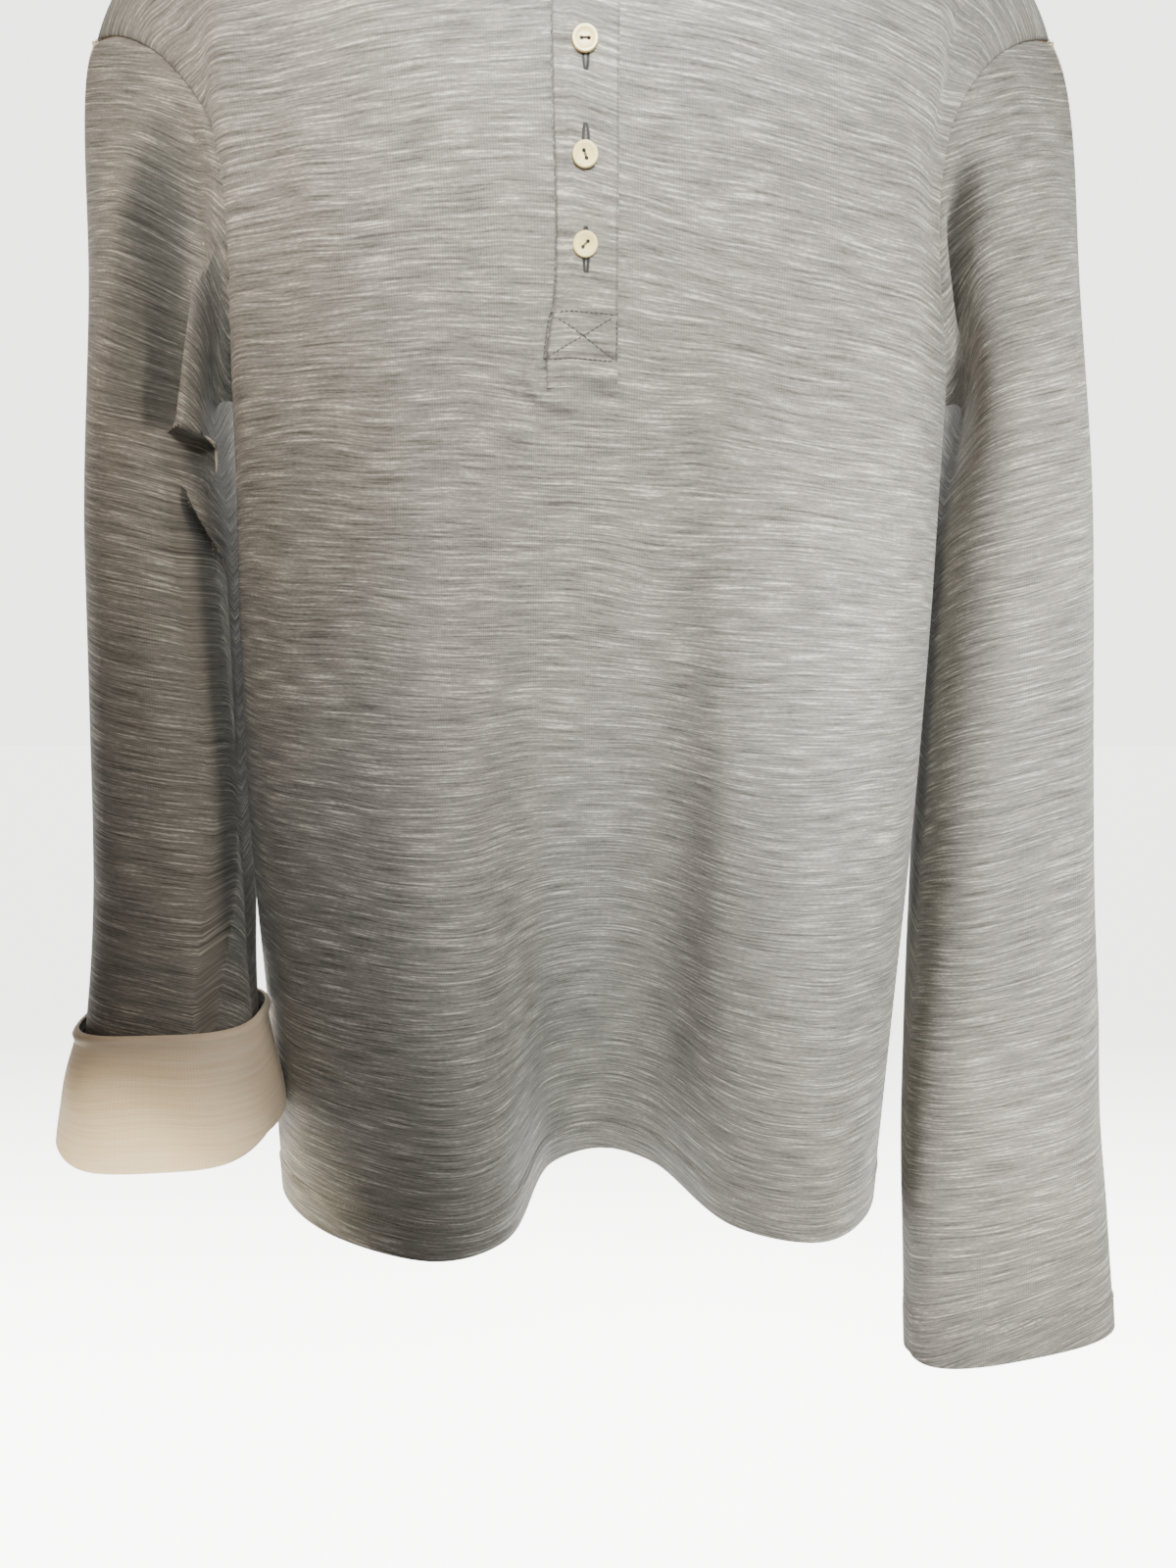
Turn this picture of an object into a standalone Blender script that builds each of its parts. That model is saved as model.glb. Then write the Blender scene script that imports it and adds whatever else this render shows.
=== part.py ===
"""Rugby shirt: long sleeves, buttoned placket, one cuff turned back, in double-faced knit.

The shirt hangs filled out with nobody in it. The origin lies midway between the two high
shoulder points, +X is towards the sleeve with the plain cuff, -Y is the front and +Z is up.
A level is a height down the side of the body, from the hem up to the shoulder point. The
courses of the knit rise from their level towards the neck, as they do on a sloped shoulder.
"""

import math

import bmesh
import bpy
import numpy as np
from mathutils import Vector
from mathutils.bvhtree import BVHTree

CLOTH = 0.0018  # thickness of the knit
SEAM_GAP = 0.0003  # between two sewn pieces

HEM_LEVEL = -0.697
UNDERARM_LEVEL = -0.270  # the placket's foot is on this course too
SHOULDER_LEVEL = -0.078
DOME_LEVEL = -0.215  # above this level front and back close towards the shoulder
RISE_LEVEL = -0.408  # above this level the courses rise towards the neck

NECK_HALF_WIDTH = 0.080
NECK_FRONT_LEVEL = -0.152
NECK_BACK_LEVEL = -0.098
NECK_CURVE = (2.4, 0.55)  # how square the neckline is at its middle and at its ends
NECK_PEAK = 0.012  # height that the two shoulder slopes would meet at, over the neck
SHOULDER_MIDDLE = -0.0075  # x midway between the two shoulder points
SHOULDER_REACH = 0.240
SHOULDER_SLOPE = 0.55  # share of the drop that is an even slope
SHOULDER_END = 12  # how late along the seam the rest of the drop comes
SHOULDER_ROUNDING = 2.6

# Sections of the body in millimetres, from the hem up. Columns: level; x of the left and
# right sides and y of both; x and y of the left lobe; x where its flank starts to drop and
# where it lands in the valley; x and y of the valley; the same for the right flank and lobe;
# y of the back, and how far the fold down its middle sinks.
BODY_SECTIONS = np.array([
    # level side_l side_r side_y  lobe_l     brow  foot  valley    foot brow  lobe_r     back fold
    ( -697,  -183,  170,  -12,   -80,  -94,  -46,  -22,   9,   25,  38,  82,  128,  -77,  78,  26),
    ( -600,  -185,  175,  -12,   -84,  -94,  -52,  -22,   8,    2,  38,  78,  124,  -80,  84,  25),
    ( -480,  -190,  182,  -10,   -94,  -89,  -62,  -26,   6,  -24,  38,  74,  118,  -80,  90,  23),
    ( -360,  -190,  187,   -6,  -100,  -80,  -72,  -34,   3,  -44,  38,  70,  112,  -73,  95,  20),
    ( -270,  -188,  189,   -2,  -104,  -71,  -76,  -40,   0,  -53,  38,  68,  110,  -67,  98,  16),
    ( -210,  -192,  191,    0,  -106,  -70,  -78,  -42,   0,  -62,  38,  70,  110,  -66,  96,  10),
    ( -150,  -212,  202,    0,  -108,  -73,  -80,  -44,   0,  -70,  40,  72,  112,  -70,  90,   6),
    (  -78,  -247,  232,    0,  -115,  -78,  -84,  -46,   0,  -78,  42,  76,  116,  -76,  84,   0),
]) / 1000
FLANK_BROW = 0.15  # shares of the drop from lobe to valley
FLANK_FOOT = 0.85
SIDE_CORNER = (0.36, 0.67)  # of the way from the side to the lobe, across and forwards
BACK_CORNER = (0.90, 0.60)  # shares of the side's x, and of the way from the side to the back
BACK_LOBES = (0.55, 0.52)  # shares of the left and the right side's x
SPREAD_LEVEL = -0.450  # above this level the columns of a panel gather on their own x

# How far the armhole seam lies in from the side, along the cloth, front and back.
ARMHOLE = np.array([
    # level   front  back
    (-0.270, 0.000, 0.000),
    (-0.248, 0.017, 0.017),
    (-0.225, 0.031, 0.030),
    (-0.195, 0.043, 0.041),
    (-0.165, 0.044, 0.044),
    (-0.140, 0.032, 0.034),
    (-0.110, 0.014, 0.014),
    (-0.078, 0.000, 0.000),
])

# Sections of the sleeves below the underarm. Columns: height, centre x and y, half of the
# width and of the depth, and how far the section is turned about the sleeve, in degrees.
PLAIN_SLEEVE = np.array([
    # z       x       y      width   depth  turn
    (-0.325, 0.2277, 0.004, 0.0370, 0.062, 0),
    (-0.420, 0.2277, -0.010, 0.0400, 0.060, 0),
    (-0.500, 0.2270, -0.026, 0.0430, 0.058, 0),
    (-0.565, 0.2275, -0.038, 0.0470, 0.057, -2),
    (-0.630, 0.2250, -0.060, 0.0500, 0.046, -2),
    (-0.690, 0.2255, -0.082, 0.0545, 0.031, 8),
    (-0.741, 0.2285, -0.093, 0.0608, 0.021, 15),
])
TURNED_SLEEVE = np.array([
    # z       x       y      width   depth  turn
    (-0.325, -0.2277, 0.002, 0.0335, 0.0638, 0),
    (-0.420, -0.2290, -0.006, 0.0353, 0.0618, 0),
    (-0.500, -0.2292, -0.018, 0.0368, 0.0578, 0),
    (-0.570, -0.2242, -0.056, 0.0430, 0.0320, 0),
    (-0.641, -0.2255, -0.066, 0.0520, 0.0288, 0),
])
SLEEVE_SQUARENESS = (0.68, 0.72)  # of the turned and the plain sleeve; 1 is an ellipse
TURN_BACK_HEIGHT = 0.071
TURN_BACK_FLARE = 0.003
TURN_BACK_CLEARANCE = 0.0022
TURN_BACK_FOLD = (0, 60, 120)  # degrees round its fold, towards the outside
TURN_BACK_SWELL = 0.3  # how much of the flare's swell comes before the fold

CAP_FULLNESS = (0.008, 0.038)  # of the turned and the plain sleeve
CAP_OUTWARD = (0.042, 0.052)  # how strongly each cap swells sideways
UNDERARM_FULLNESS = 0.022
FULLNESS_BY_REACH = 0.20  # share of the way to the first section, added to both
ARRIVAL = 0.9  # how straight the cap runs into the first section
LEAST_ONWARD = 0.75  # share of the sleeve's first direction that carries the panel on
UNDERARM_ROLL = 0.060  # how strongly the sleeve bends away from the side of the body
# Shares of the armhole's height between which each of these fades in or out, going up.
CAP_RANGE = (0.0, 0.40)  # the sleeve bulges out more and more
ROLL_RANGE = (0.10, 0.433)  # the underarm's roll fades
WIDE_SEAM_RANGE = (0.32, 0.72)  # the seam narrows to its usual gap
SHOULDER_SEAM_RANGE = (0.80, 1.0)  # and widens again
WIDE_SEAM = 2  # further seam gaps at both ends, where the sleeve turns sharply
CAP_EASING = (0.5, 3)  # how much of its bulge the cap loses at the shoulder, and how late

PLACKET_LEFT = -0.0175
PLACKET_RIGHT = 0.0145
PLACKET_RAISE = 0.0006  # of the over strip above the front
UNDER_STRIP_SPREAD = 0.003  # of the under strip beyond the slit on each side
UNDER_STRIP_TAIL = 0.006  # below the slit's foot
UNDER_STRIP_CLOTH = 0.0012
COLLAR_STAND = 0.026
COLLAR_LEAN = 0.005  # of the stand's top, towards the neck
COLLAR_REACH = 0.032  # of the turned-down leaf, out along the shoulder
COLLAR_POINT_LEVEL = -0.148
COLLAR_SPREAD = 0.034  # from the front opening to each point
COLLAR_CLEARANCE = 0.0040
COLLAR_ROLL = (0.022, 0.012)  # how the leaf leaves the stand: up and out
COLLAR_FALL = 1.2  # how straight the leaf runs down to its edge
COLLAR_TUCK = 0.006  # how far the leaf bends in under itself at its edge
COLLAR_STEP = 0.017  # longest side of the collar's facets along the neck
COLLAR_EDGE_ROUNDING = 0.8  # how square the leaf's edge turns from the shoulder to the back
SHOULDER_CLEAR = 0.0005  # of the leaf's edge below the shoulder seam's level
STAND_ROWS = (0, 0.3, 0.65, 1.0)  # shares of the way up
LEAF_ROWS = (0, 0.08, 0.2, 0.4, 0.7, 1.0)  # shares of the way from its fold to its edge

BUTTON_DIAMETER = 0.0114
BUTTON_THICKNESS = 0.0024
BUTTON_RIM = 0.0016
BUTTON_WELL = 0.0006
BUTTON_EASE = 0.0006  # of its turned edges
BUTTON_HOLE = 0.0015
BUTTON_HOLE_SPACING = 0.0030
BUTTON_LEVELS = (-0.1725, -0.2070, -0.2330)
BUTTON_TURNS = (0, 70, -40)  # of the line through the holes, in degrees

SIDE_COLUMNS = 7  # from the armhole to the neck
NECK_COLUMNS = 4  # from the neck to the placket
PLACKET_COLUMNS = 2
BODY_ROWS = 13  # below the underarm
ARMHOLE_ROWS = 10  # above it
BACK_COLUMNS = 18
BACK_SIDE_COLUMNS = 5  # of them, from the armhole to the neck
SLEEVE_ROWS = 8  # below the cap
TURN_BACK_ROWS = 3
CAP_ROWS = 6

MELANGE_GREY = (0.36, 0.36, 0.35)
CREAM_KNIT = (0.72, 0.62, 0.49)
CREAM_BUTTON = (0.80, 0.76, 0.62)


def smooth_steps(value, start, end):
    """0 before start, 1 after end, and an even S between."""
    share = np.clip((value - start) / (end - start), 0.0, 1.0)
    return share * share * (3.0 - 2.0 * share)


def smooth_table(table, at):
    """The row of a table at any value of its first column, on one smooth curve."""
    order = np.argsort(table[:, 0])
    knots, values = table[order, 0], table[order, 1:]
    slopes = np.gradient(values, knots, axis=0)
    at = float(np.clip(at, knots[0], knots[-1]))
    i = int(np.clip(np.searchsorted(knots, at) - 1, 0, len(knots) - 2))
    span = knots[i + 1] - knots[i]
    t = (at - knots[i]) / span
    rise = t * t * (3 - 2 * t)
    return (
        values[i] * (1 - rise)
        + values[i + 1] * rise
        + slopes[i] * span * t * (1 - t) ** 2
        - slopes[i + 1] * span * t * t * (1 - t)
    )


def closed_curve(points, per_span=16):
    """A smooth closed curve through points, and where each of them falls on it."""
    points = np.array(points)
    wrapped = np.vstack([points[-2:], points, points[:3]])
    chords = np.linalg.norm(np.diff(wrapped, axis=0), axis=1) ** 0.5
    knots = np.concatenate([[0.0], np.cumsum(chords)])
    slopes = np.gradient(wrapped, knots, axis=0)
    t = (np.arange(per_span) / per_span)[:, None]
    spans = []
    for i in range(2, 2 + len(points)):
        span = knots[i + 1] - knots[i]
        rise = t * t * (3 - 2 * t)
        spans.append(
            wrapped[i] * (1 - rise)
            + wrapped[i + 1] * rise
            + slopes[i] * span * t * (1 - t) ** 2
            - slopes[i + 1] * span * t * t * (1 - t)
        )
    return np.vstack(spans)


def body_ring(level):
    """Front and back halves of the body's section: left side to right side, both (x, y)."""
    (left, right, side_y, lobe_lx, lobe_ly, brow_l, foot_l, valley_x, valley_y,
     foot_r, brow_r, lobe_rx, lobe_ry, back, fold) = smooth_table(BODY_SECTIONS, level)
    across, forwards = SIDE_CORNER
    drop_l, drop_r = valley_y - lobe_ly, valley_y - lobe_ry
    corner_x = BACK_CORNER[0]
    corner_y = side_y + (back - side_y) * BACK_CORNER[1]
    controls = [
        (left, side_y),
        (left + (lobe_lx - left) * across, side_y + (lobe_ly - side_y) * forwards),
        (lobe_lx, lobe_ly),
        (brow_l, lobe_ly + drop_l * FLANK_BROW),
        (foot_l, lobe_ly + drop_l * FLANK_FOOT),
        (valley_x, valley_y),
        (foot_r, lobe_ry + drop_r * FLANK_FOOT),
        (brow_r, lobe_ry + drop_r * FLANK_BROW),
        (lobe_rx, lobe_ry),
        (right + (lobe_rx - right) * across, side_y + (lobe_ry - side_y) * forwards),
        (right, side_y),
        (right * corner_x, corner_y),
        (right * BACK_LOBES[1], back),
        (0.0, back - fold),
        (left * BACK_LOBES[0], back),
        (left * corner_x, corner_y),
    ]
    spans, per_span = 10, 16
    curve = closed_curve(controls, per_span)
    cut = spans * per_span
    front = curve[: cut + 1]
    back_half = np.vstack([curve[cut:], curve[:1]])[::-1]
    return front, back_half


def arc_lengths(line):
    return np.concatenate([[0.0], np.cumsum(np.linalg.norm(np.diff(line, axis=0), axis=1))])


def shoulder_height(x):
    """Height of the shoulder seam: an even slope that rounds over at its outer end."""
    reach = min(abs(x - SHOULDER_MIDDLE) / SHOULDER_REACH, 1.0)
    fall = SHOULDER_SLOPE * reach + (1 - SHOULDER_SLOPE) * reach**SHOULDER_END
    return NECK_PEAK + (SHOULDER_LEVEL - NECK_PEAK) * fall


def body_point(half, level, arc):
    """A point of the outer face: half 0 is the front and 1 the back, arc runs left to right."""
    line = body_ring(level)[half]
    lengths = arc_lengths(line)
    x = np.interp(arc, lengths, line[:, 0])
    y = np.interp(arc, lengths, line[:, 1])
    closing = np.clip((level - DOME_LEVEL) / (SHOULDER_LEVEL - DOME_LEVEL), 0.0, 1.0)
    dome = (1.0 - closing**SHOULDER_ROUNDING) ** 0.5
    lift = smooth_steps(level, RISE_LEVEL, SHOULDER_LEVEL) * (shoulder_height(x) - SHOULDER_LEVEL)
    side = (-1, 1)[half] * SEAM_GAP / 2
    return np.array([x, y * dome + side * (closing > 0.999), level + lift])


def arc_at_x(half, level, x):
    line = body_ring(level)[half]
    return float(np.interp(x, line[:, 0], arc_lengths(line)))


def ridge_normal(x):
    """Outward direction along the shoulder seam, where front and back meet."""
    step = 0.001
    slope = (shoulder_height(x + step) - shoulder_height(x - step)) / (2 * step)
    return np.array([-slope, 0.0, 1.0]) / math.hypot(slope, 1.0)


def body_normal(half, level, arc):
    """Outward direction of the body's face, from its slopes along and across."""
    step = 0.001
    if level > SHOULDER_LEVEL - step:
        return ridge_normal(body_point(half, level, arc)[0])
    across = body_point(half, level, arc + step) - body_point(half, level, arc - step)
    up = body_point(half, level + step, arc) - body_point(half, level - step, arc)
    normal = np.cross(across, up) * (1, -1)[half]
    return normal / np.linalg.norm(normal)


def neck_level(half, x):
    """Level that a column of the panel ends on: its neckline, or the shoulder seam."""
    reach = min(abs(x) / NECK_HALF_WIDTH, 1.0)
    lowest = (NECK_FRONT_LEVEL, NECK_BACK_LEVEL)[half]
    round_middle, round_end = NECK_CURVE
    return SHOULDER_LEVEL + (lowest - SHOULDER_LEVEL) * (1.0 - reach**round_middle) ** round_end


def panel_columns(half):
    """Where the columns lie in the shoulder seam and neckline, left to right."""
    left, right = smooth_table(BODY_SECTIONS, SHOULDER_LEVEL)[:2]
    if half:
        stops = [left, -NECK_HALF_WIDTH, NECK_HALF_WIDTH, right]
        counts = [BACK_SIDE_COLUMNS, BACK_COLUMNS - 2 * BACK_SIDE_COLUMNS, BACK_SIDE_COLUMNS]
    else:
        stops = [left, -NECK_HALF_WIDTH, PLACKET_LEFT, PLACKET_RIGHT, NECK_HALF_WIDTH, right]
        counts = [SIDE_COLUMNS, NECK_COLUMNS, PLACKET_COLUMNS, NECK_COLUMNS, SIDE_COLUMNS]
    columns = stops[:1]
    for a, b, count in zip(stops, stops[1:], counts):
        shares = np.arange(1, count + 1) / count
        if max(abs(a), abs(b)) > NECK_HALF_WIDTH:
            columns += list(a + (b - a) * shares)
        else:
            start, end = (math.asin(x / NECK_HALF_WIDTH) for x in (a, b))
            columns += list(NECK_HALF_WIDTH * np.sin(start + (end - start) * shares))
    return np.array(columns)


def column_arcs(half, level, columns):
    """Arcs of the columns at a level: evenly spread at the hem, on their own x near the neck."""
    line = body_ring(level)[half]
    lengths = arc_lengths(line)
    inset = smooth_table(ARMHOLE, level)[half] if level > UNDERARM_LEVEL else 0.0
    start = max(inset, SEAM_GAP / 2)
    end = lengths[-1] - start
    spread = np.interp(columns, columns[[0, -1]], (start, end))
    inner = columns[abs(columns) < NECK_HALF_WIDTH + 1e-6]
    stops = np.concatenate([columns[:1], inner, columns[-1:]])
    own = np.concatenate([[start], np.interp(inner, line[:, 0], lengths), [end]])
    near = smooth_steps(level, SPREAD_LEVEL, UNDERARM_LEVEL)
    return spread + (np.interp(columns, stops, own) - spread) * near


def panel_grid(half):
    """Rows of (level, arc) from the hem up, a column for each place in the seam."""
    columns = panel_columns(half)
    lower = np.linspace(HEM_LEVEL, UNDERARM_LEVEL, BODY_ROWS + 1)[:-1]
    rows = [[(level, arc) for arc in column_arcs(half, level, columns)] for level in lower]
    for i in range(ARMHOLE_ROWS + 1):
        share = i / ARMHOLE_ROWS
        row = []
        for j, x in enumerate(columns):
            end = neck_level(half, x)
            level = UNDERARM_LEVEL + (end - UNDERARM_LEVEL) * share
            row.append((level, column_arcs(half, level, columns)[j]))
        rows.append(row)
    return rows


def panel_faces(half, grid, raise_by=0.0, thickness=CLOTH):
    """Outer and inner points of a piece that lies on the body, moved out by raise_by."""
    outer, inner = [], []
    for row in grid:
        points = np.array([body_point(half, level, arc) for level, arc in row])
        normals = np.array([body_normal(half, level, arc) for level, arc in row])
        outer.append(points + normals * raise_by)
        inner.append(points + normals * (raise_by - thickness))
    return np.array(outer), np.array(inner)


def knit_material(name, colour):
    material = bpy.data.materials.new(name)
    material.diffuse_color = (*colour, 1.0)
    material.use_nodes = True
    shader = material.node_tree.nodes["Principled BSDF"]
    shader.inputs["Base Color"].default_value = (*colour, 1.0)
    shader.inputs["Roughness"].default_value = 0.9
    shader.inputs["Metallic"].default_value = 0.0
    return material


def add_object(name, mesh_data, material):
    mesh = bpy.data.meshes.new(name)
    bmesh.ops.recalc_face_normals(mesh_data, faces=mesh_data.faces)
    if mesh_data.calc_volume(signed=True) < 0:
        bmesh.ops.reverse_faces(mesh_data, faces=mesh_data.faces)
    mesh_data.to_mesh(mesh)
    mesh_data.free()
    mesh.shade_smooth()
    mesh.set_sharp_from_angle(angle=math.radians(50))
    mesh.materials.append(material)
    piece = bpy.data.objects.new(name, mesh)
    bpy.context.scene.collection.objects.link(piece)
    return piece


def cloth(name, outer, inner, material, closed=False, skip=None):
    """A wall between two grids of points, with its edges closed; skip leaves cells out."""
    shell = bmesh.new()
    rows, columns = outer.shape[:2]
    skins = []
    for grid in (outer, inner):
        skins.append([[shell.verts.new(grid[i, j]) for j in range(columns)] for i in range(rows)])
    cells = [
        (i, j)
        for i in range(rows - 1)
        for j in range(columns if closed else columns - 1)
        if not (skip and skip(i, j))
    ]
    sides = {}
    for i, j in cells:
        k = (j + 1) % columns
        corners = [(i, j), (i, k), (i + 1, k), (i + 1, j)]
        shell.faces.new([skins[0][a][b] for a, b in corners])
        shell.faces.new([skins[1][a][b] for a, b in reversed(corners)])
        for a, b in zip(corners, corners[1:] + corners[:1]):
            if (b, a) in sides:
                del sides[(b, a)]
            else:
                sides[(a, b)] = True
    for (ai, aj), (bi, bj) in sides:
        rim = [skins[0][bi][bj], skins[0][ai][aj], skins[1][ai][aj], skins[1][bi][bj]]
        if (rim[1].co - rim[3].co).length < (rim[0].co - rim[2].co).length:
            rim = rim[1:] + rim[:1]
        shell.faces.new([rim[0], rim[1], rim[2]])
        shell.faces.new([rim[0], rim[2], rim[3]])
    loose = [vert for vert in shell.verts if not vert.link_faces]
    bmesh.ops.delete(shell, geom=loose, context="VERTS")
    return add_object(name, shell, material)


def make_front(grey):
    """Front panel, slit from the neck down for the placket."""
    first = SIDE_COLUMNS + NECK_COLUMNS
    outer, inner = panel_faces(0, panel_grid(0))

    def in_slit(row, column):
        return row >= BODY_ROWS and first <= column < first + PLACKET_COLUMNS

    cloth("front_panel", outer, inner, grey, skip=in_slit)
    return outer, inner


def make_back(grey):
    outer, inner = panel_faces(1, panel_grid(1))
    cloth("back_panel", outer, inner, grey)
    return outer, inner


def strip_grid(left, right, bottom, top_shift, rows, columns):
    """Rows of (level, arc) for a strip of the front between two values of x."""
    grid = []
    for i in range(rows + 1):
        row = []
        for j in range(columns + 1):
            x = left + (right - left) * j / columns
            top = neck_level(0, x) - top_shift
            level = bottom + (top - bottom) * i / rows
            row.append((level, arc_at_x(0, level, x)))
        grid.append(row)
    return grid


def make_placket(grey):
    """The strip with the buttonholes fills the slit, over the strip that holds the buttons."""
    over = strip_grid(PLACKET_LEFT + SEAM_GAP, PLACKET_RIGHT - SEAM_GAP,
                      UNDERARM_LEVEL + SEAM_GAP, SEAM_GAP, ARMHOLE_ROWS, PLACKET_COLUMNS)
    cloth("placket_over_strip", *panel_faces(0, over, PLACKET_RAISE), grey)
    depth = CLOTH + SEAM_GAP
    under = strip_grid(PLACKET_LEFT - UNDER_STRIP_SPREAD, PLACKET_RIGHT + UNDER_STRIP_SPREAD,
                       UNDERARM_LEVEL - UNDER_STRIP_TAIL, SEAM_GAP, ARMHOLE_ROWS, PLACKET_COLUMNS)
    cloth("placket_under_strip", *panel_faces(0, under, -depth, UNDER_STRIP_CLOTH), grey)


def edge_slopes(outer, inner, closed):
    """Directions that carry the cloth on past an edge, square to the edge and the wall."""
    if closed:
        tangents = np.roll(outer, -1, axis=0) - np.roll(outer, 1, axis=0)
    else:
        tangents = np.gradient(outer, axis=0)
    slopes = np.cross(tangents, outer - inner)
    return slopes / np.linalg.norm(slopes, axis=1)[:, None]


def armhole_loop(side, panels):
    """The armhole's edge from the shoulder down the front and up the back, both faces."""
    column = (0, -1)[side]
    (front_out, front_in), (back_out, back_in) = panels
    rows = slice(BODY_ROWS, BODY_ROWS + ARMHOLE_ROWS + 1)
    loops = []
    for front, back in ((front_out, back_out), (front_in, back_in)):
        down, up = front[rows, column][::-1], back[rows, column]
        shoulder, underarm = (down[0] + up[-1]) / 2, (down[-1] + up[0]) / 2
        loops.append(np.vstack([[shoulder], down[1:-1], [underarm], up[1:-1]]))
    return loops[0], loops[1], edge_slopes(*loops, closed=True) * (1, -1)[side]


def sleeve_ring(table, z, side, count, grow=0.0):
    """A level section of a sleeve, from its outermost point round the front."""
    x, y, half_width, half_depth, turn = smooth_table(table, z)
    angles = np.arange(count) / count * 2 * math.pi
    bend = SLEEVE_SQUARENESS[side]
    across = np.sign(np.cos(angles)) * abs(np.cos(angles)) ** bend * (half_width + grow)
    along = -np.sign(np.sin(angles)) * abs(np.sin(angles)) ** bend * (half_depth + grow)
    across = across * (1 if side else -1)
    c, s = math.cos(math.radians(turn)), math.sin(math.radians(turn))
    return np.column_stack([
        x + across * c - along * s,
        y + across * s + along * c,
        np.full(count, z),
    ])


def grid_normals(grid, closed):
    """Directions square to a grid of points, from its neighbours."""
    if closed:
        around = np.roll(grid, -1, axis=1) - np.roll(grid, 1, axis=1)
    else:
        around = np.gradient(grid, axis=1)
    along = np.gradient(grid, axis=0)
    normals = np.cross(around, along)
    return normals / np.linalg.norm(normals, axis=2)[:, :, None]


def fading_up(height, fade):
    """1 below the fade's start and 0 above its end."""
    return np.clip((fade[1] - height) / (fade[1] - fade[0]), 0.0, 1.0)


def rolled(start, target, leave, arrive, shares):
    """Rows of points on smooth paths that leave one row and arrive at another."""
    rows = []
    for t in shares:
        rise = t * t * (3 - 2 * t)
        rows.append(start * (1 - rise) + target * rise
                    + leave * t * (1 - t) ** 2 - arrive * t * t * (1 - t))
    return rows


def make_sleeve(name, side, table, panels, grey):
    """A sleeve: its cap rolls out of the armhole and down, and the rest hangs in sections."""
    start_out, start_in, slopes = armhole_loop(side, panels)
    count = len(start_out)
    target = sleeve_ring(table, table[0, 0], side, count)
    above = (start_out[:, 2:] - UNDERARM_LEVEL) / (SHOULDER_LEVEL - UNDERARM_LEVEL)
    cap = 1 - fading_up(above, CAP_RANGE)
    wide = fading_up(above, WIDE_SEAM_RANGE) + 1 - fading_up(above, SHOULDER_SEAM_RANGE)
    seam = slopes * SEAM_GAP * (1 + WIDE_SEAM * wide)
    start = start_out + seam
    reach = np.linalg.norm(target - start, axis=1)[:, None]
    eased, late = CAP_EASING
    bulge = (start_out - start_in) / CLOTH * (1 - eased * above**late) + (target - start) / reach
    leave = slopes * (1 - cap) + bulge / 2 * cap
    onward = (leave * slopes).sum(axis=1)[:, None]
    leave += slopes * np.clip(LEAST_ONWARD - onward, 0, None)
    leave /= np.linalg.norm(leave, axis=1)[:, None]
    fullness = UNDERARM_FULLNESS * (1 - cap) + CAP_FULLNESS[side] * cap
    leave *= fullness + reach * FULLNESS_BY_REACH
    sideways = UNDERARM_ROLL * fading_up(above, ROLL_RANGE) + CAP_OUTWARD[side] * cap * above
    leave += np.array([(-1, 1)[side], 0, 0]) * sideways
    step = 0.01  # of height, over which the first section's direction is measured
    arrive = (sleeve_ring(table, table[0, 0] - step, side, count) - target) / step * reach
    rings = rolled(start, target, leave, arrive * ARRIVAL, np.arange(CAP_ROWS) / CAP_ROWS)
    end = table[-1, 0]
    fold = end + (0.0 if side else TURN_BACK_HEIGHT)
    heights = np.linspace(table[0, 0], fold, SLEEVE_ROWS + 1)
    if not side:
        heights = np.concatenate([heights, np.linspace(fold, end, TURN_BACK_ROWS + 1)[1:]])
    rings += [sleeve_ring(table, z, side, count) for z in heights]
    outer = np.array(rings)
    outwards = grid_normals(outer, closed=True) * (-1, 1)[side]
    outwards[1] += (start_out - start_in) / CLOTH  # the wall turns gradually from the panel's
    outwards[1] /= np.linalg.norm(outwards[1], axis=1)[:, None]
    inner = outer - outwards * CLOTH
    inner[0] = start_in + seam
    cloth(name, outer, inner, grey, closed=True)


def make_turn_back(cream):
    """The end of the sleeve turned up over itself, with its cream inside face showing."""
    count = 2 * ARMHOLE_ROWS
    bottom = TURNED_SLEEVE[-1, 0]
    radius = TURN_BACK_CLEARANCE / 2 + CLOTH
    outer, inner = [], []
    for angle in np.radians(TURN_BACK_FOLD):
        for points, bend in ((outer, radius), (inner, radius - CLOTH)):
            grow = TURN_BACK_CLEARANCE / 2 - bend * math.cos(angle)
            ring = sleeve_ring(TURNED_SLEEVE, bottom, 0, count, grow)
            ring[:, 2] = bottom - SEAM_GAP - bend * math.sin(angle)
            points.append(ring)
    for share in np.linspace(0, 1, TURN_BACK_ROWS + 1):
        swell = (TURN_BACK_SWELL + share) / (TURN_BACK_SWELL + 1)
        flare = TURN_BACK_FLARE * math.sin(math.pi * swell)
        z = bottom + TURN_BACK_HEIGHT * share
        for points, wall in ((outer, CLOTH), (inner, 0.0)):
            grow = TURN_BACK_CLEARANCE + wall + flare
            points.append(sleeve_ring(TURNED_SLEEVE, z, 0, count, grow))
    cloth("cuff_turn_back", np.array(outer), np.array(inner), cream, closed=True)


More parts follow.
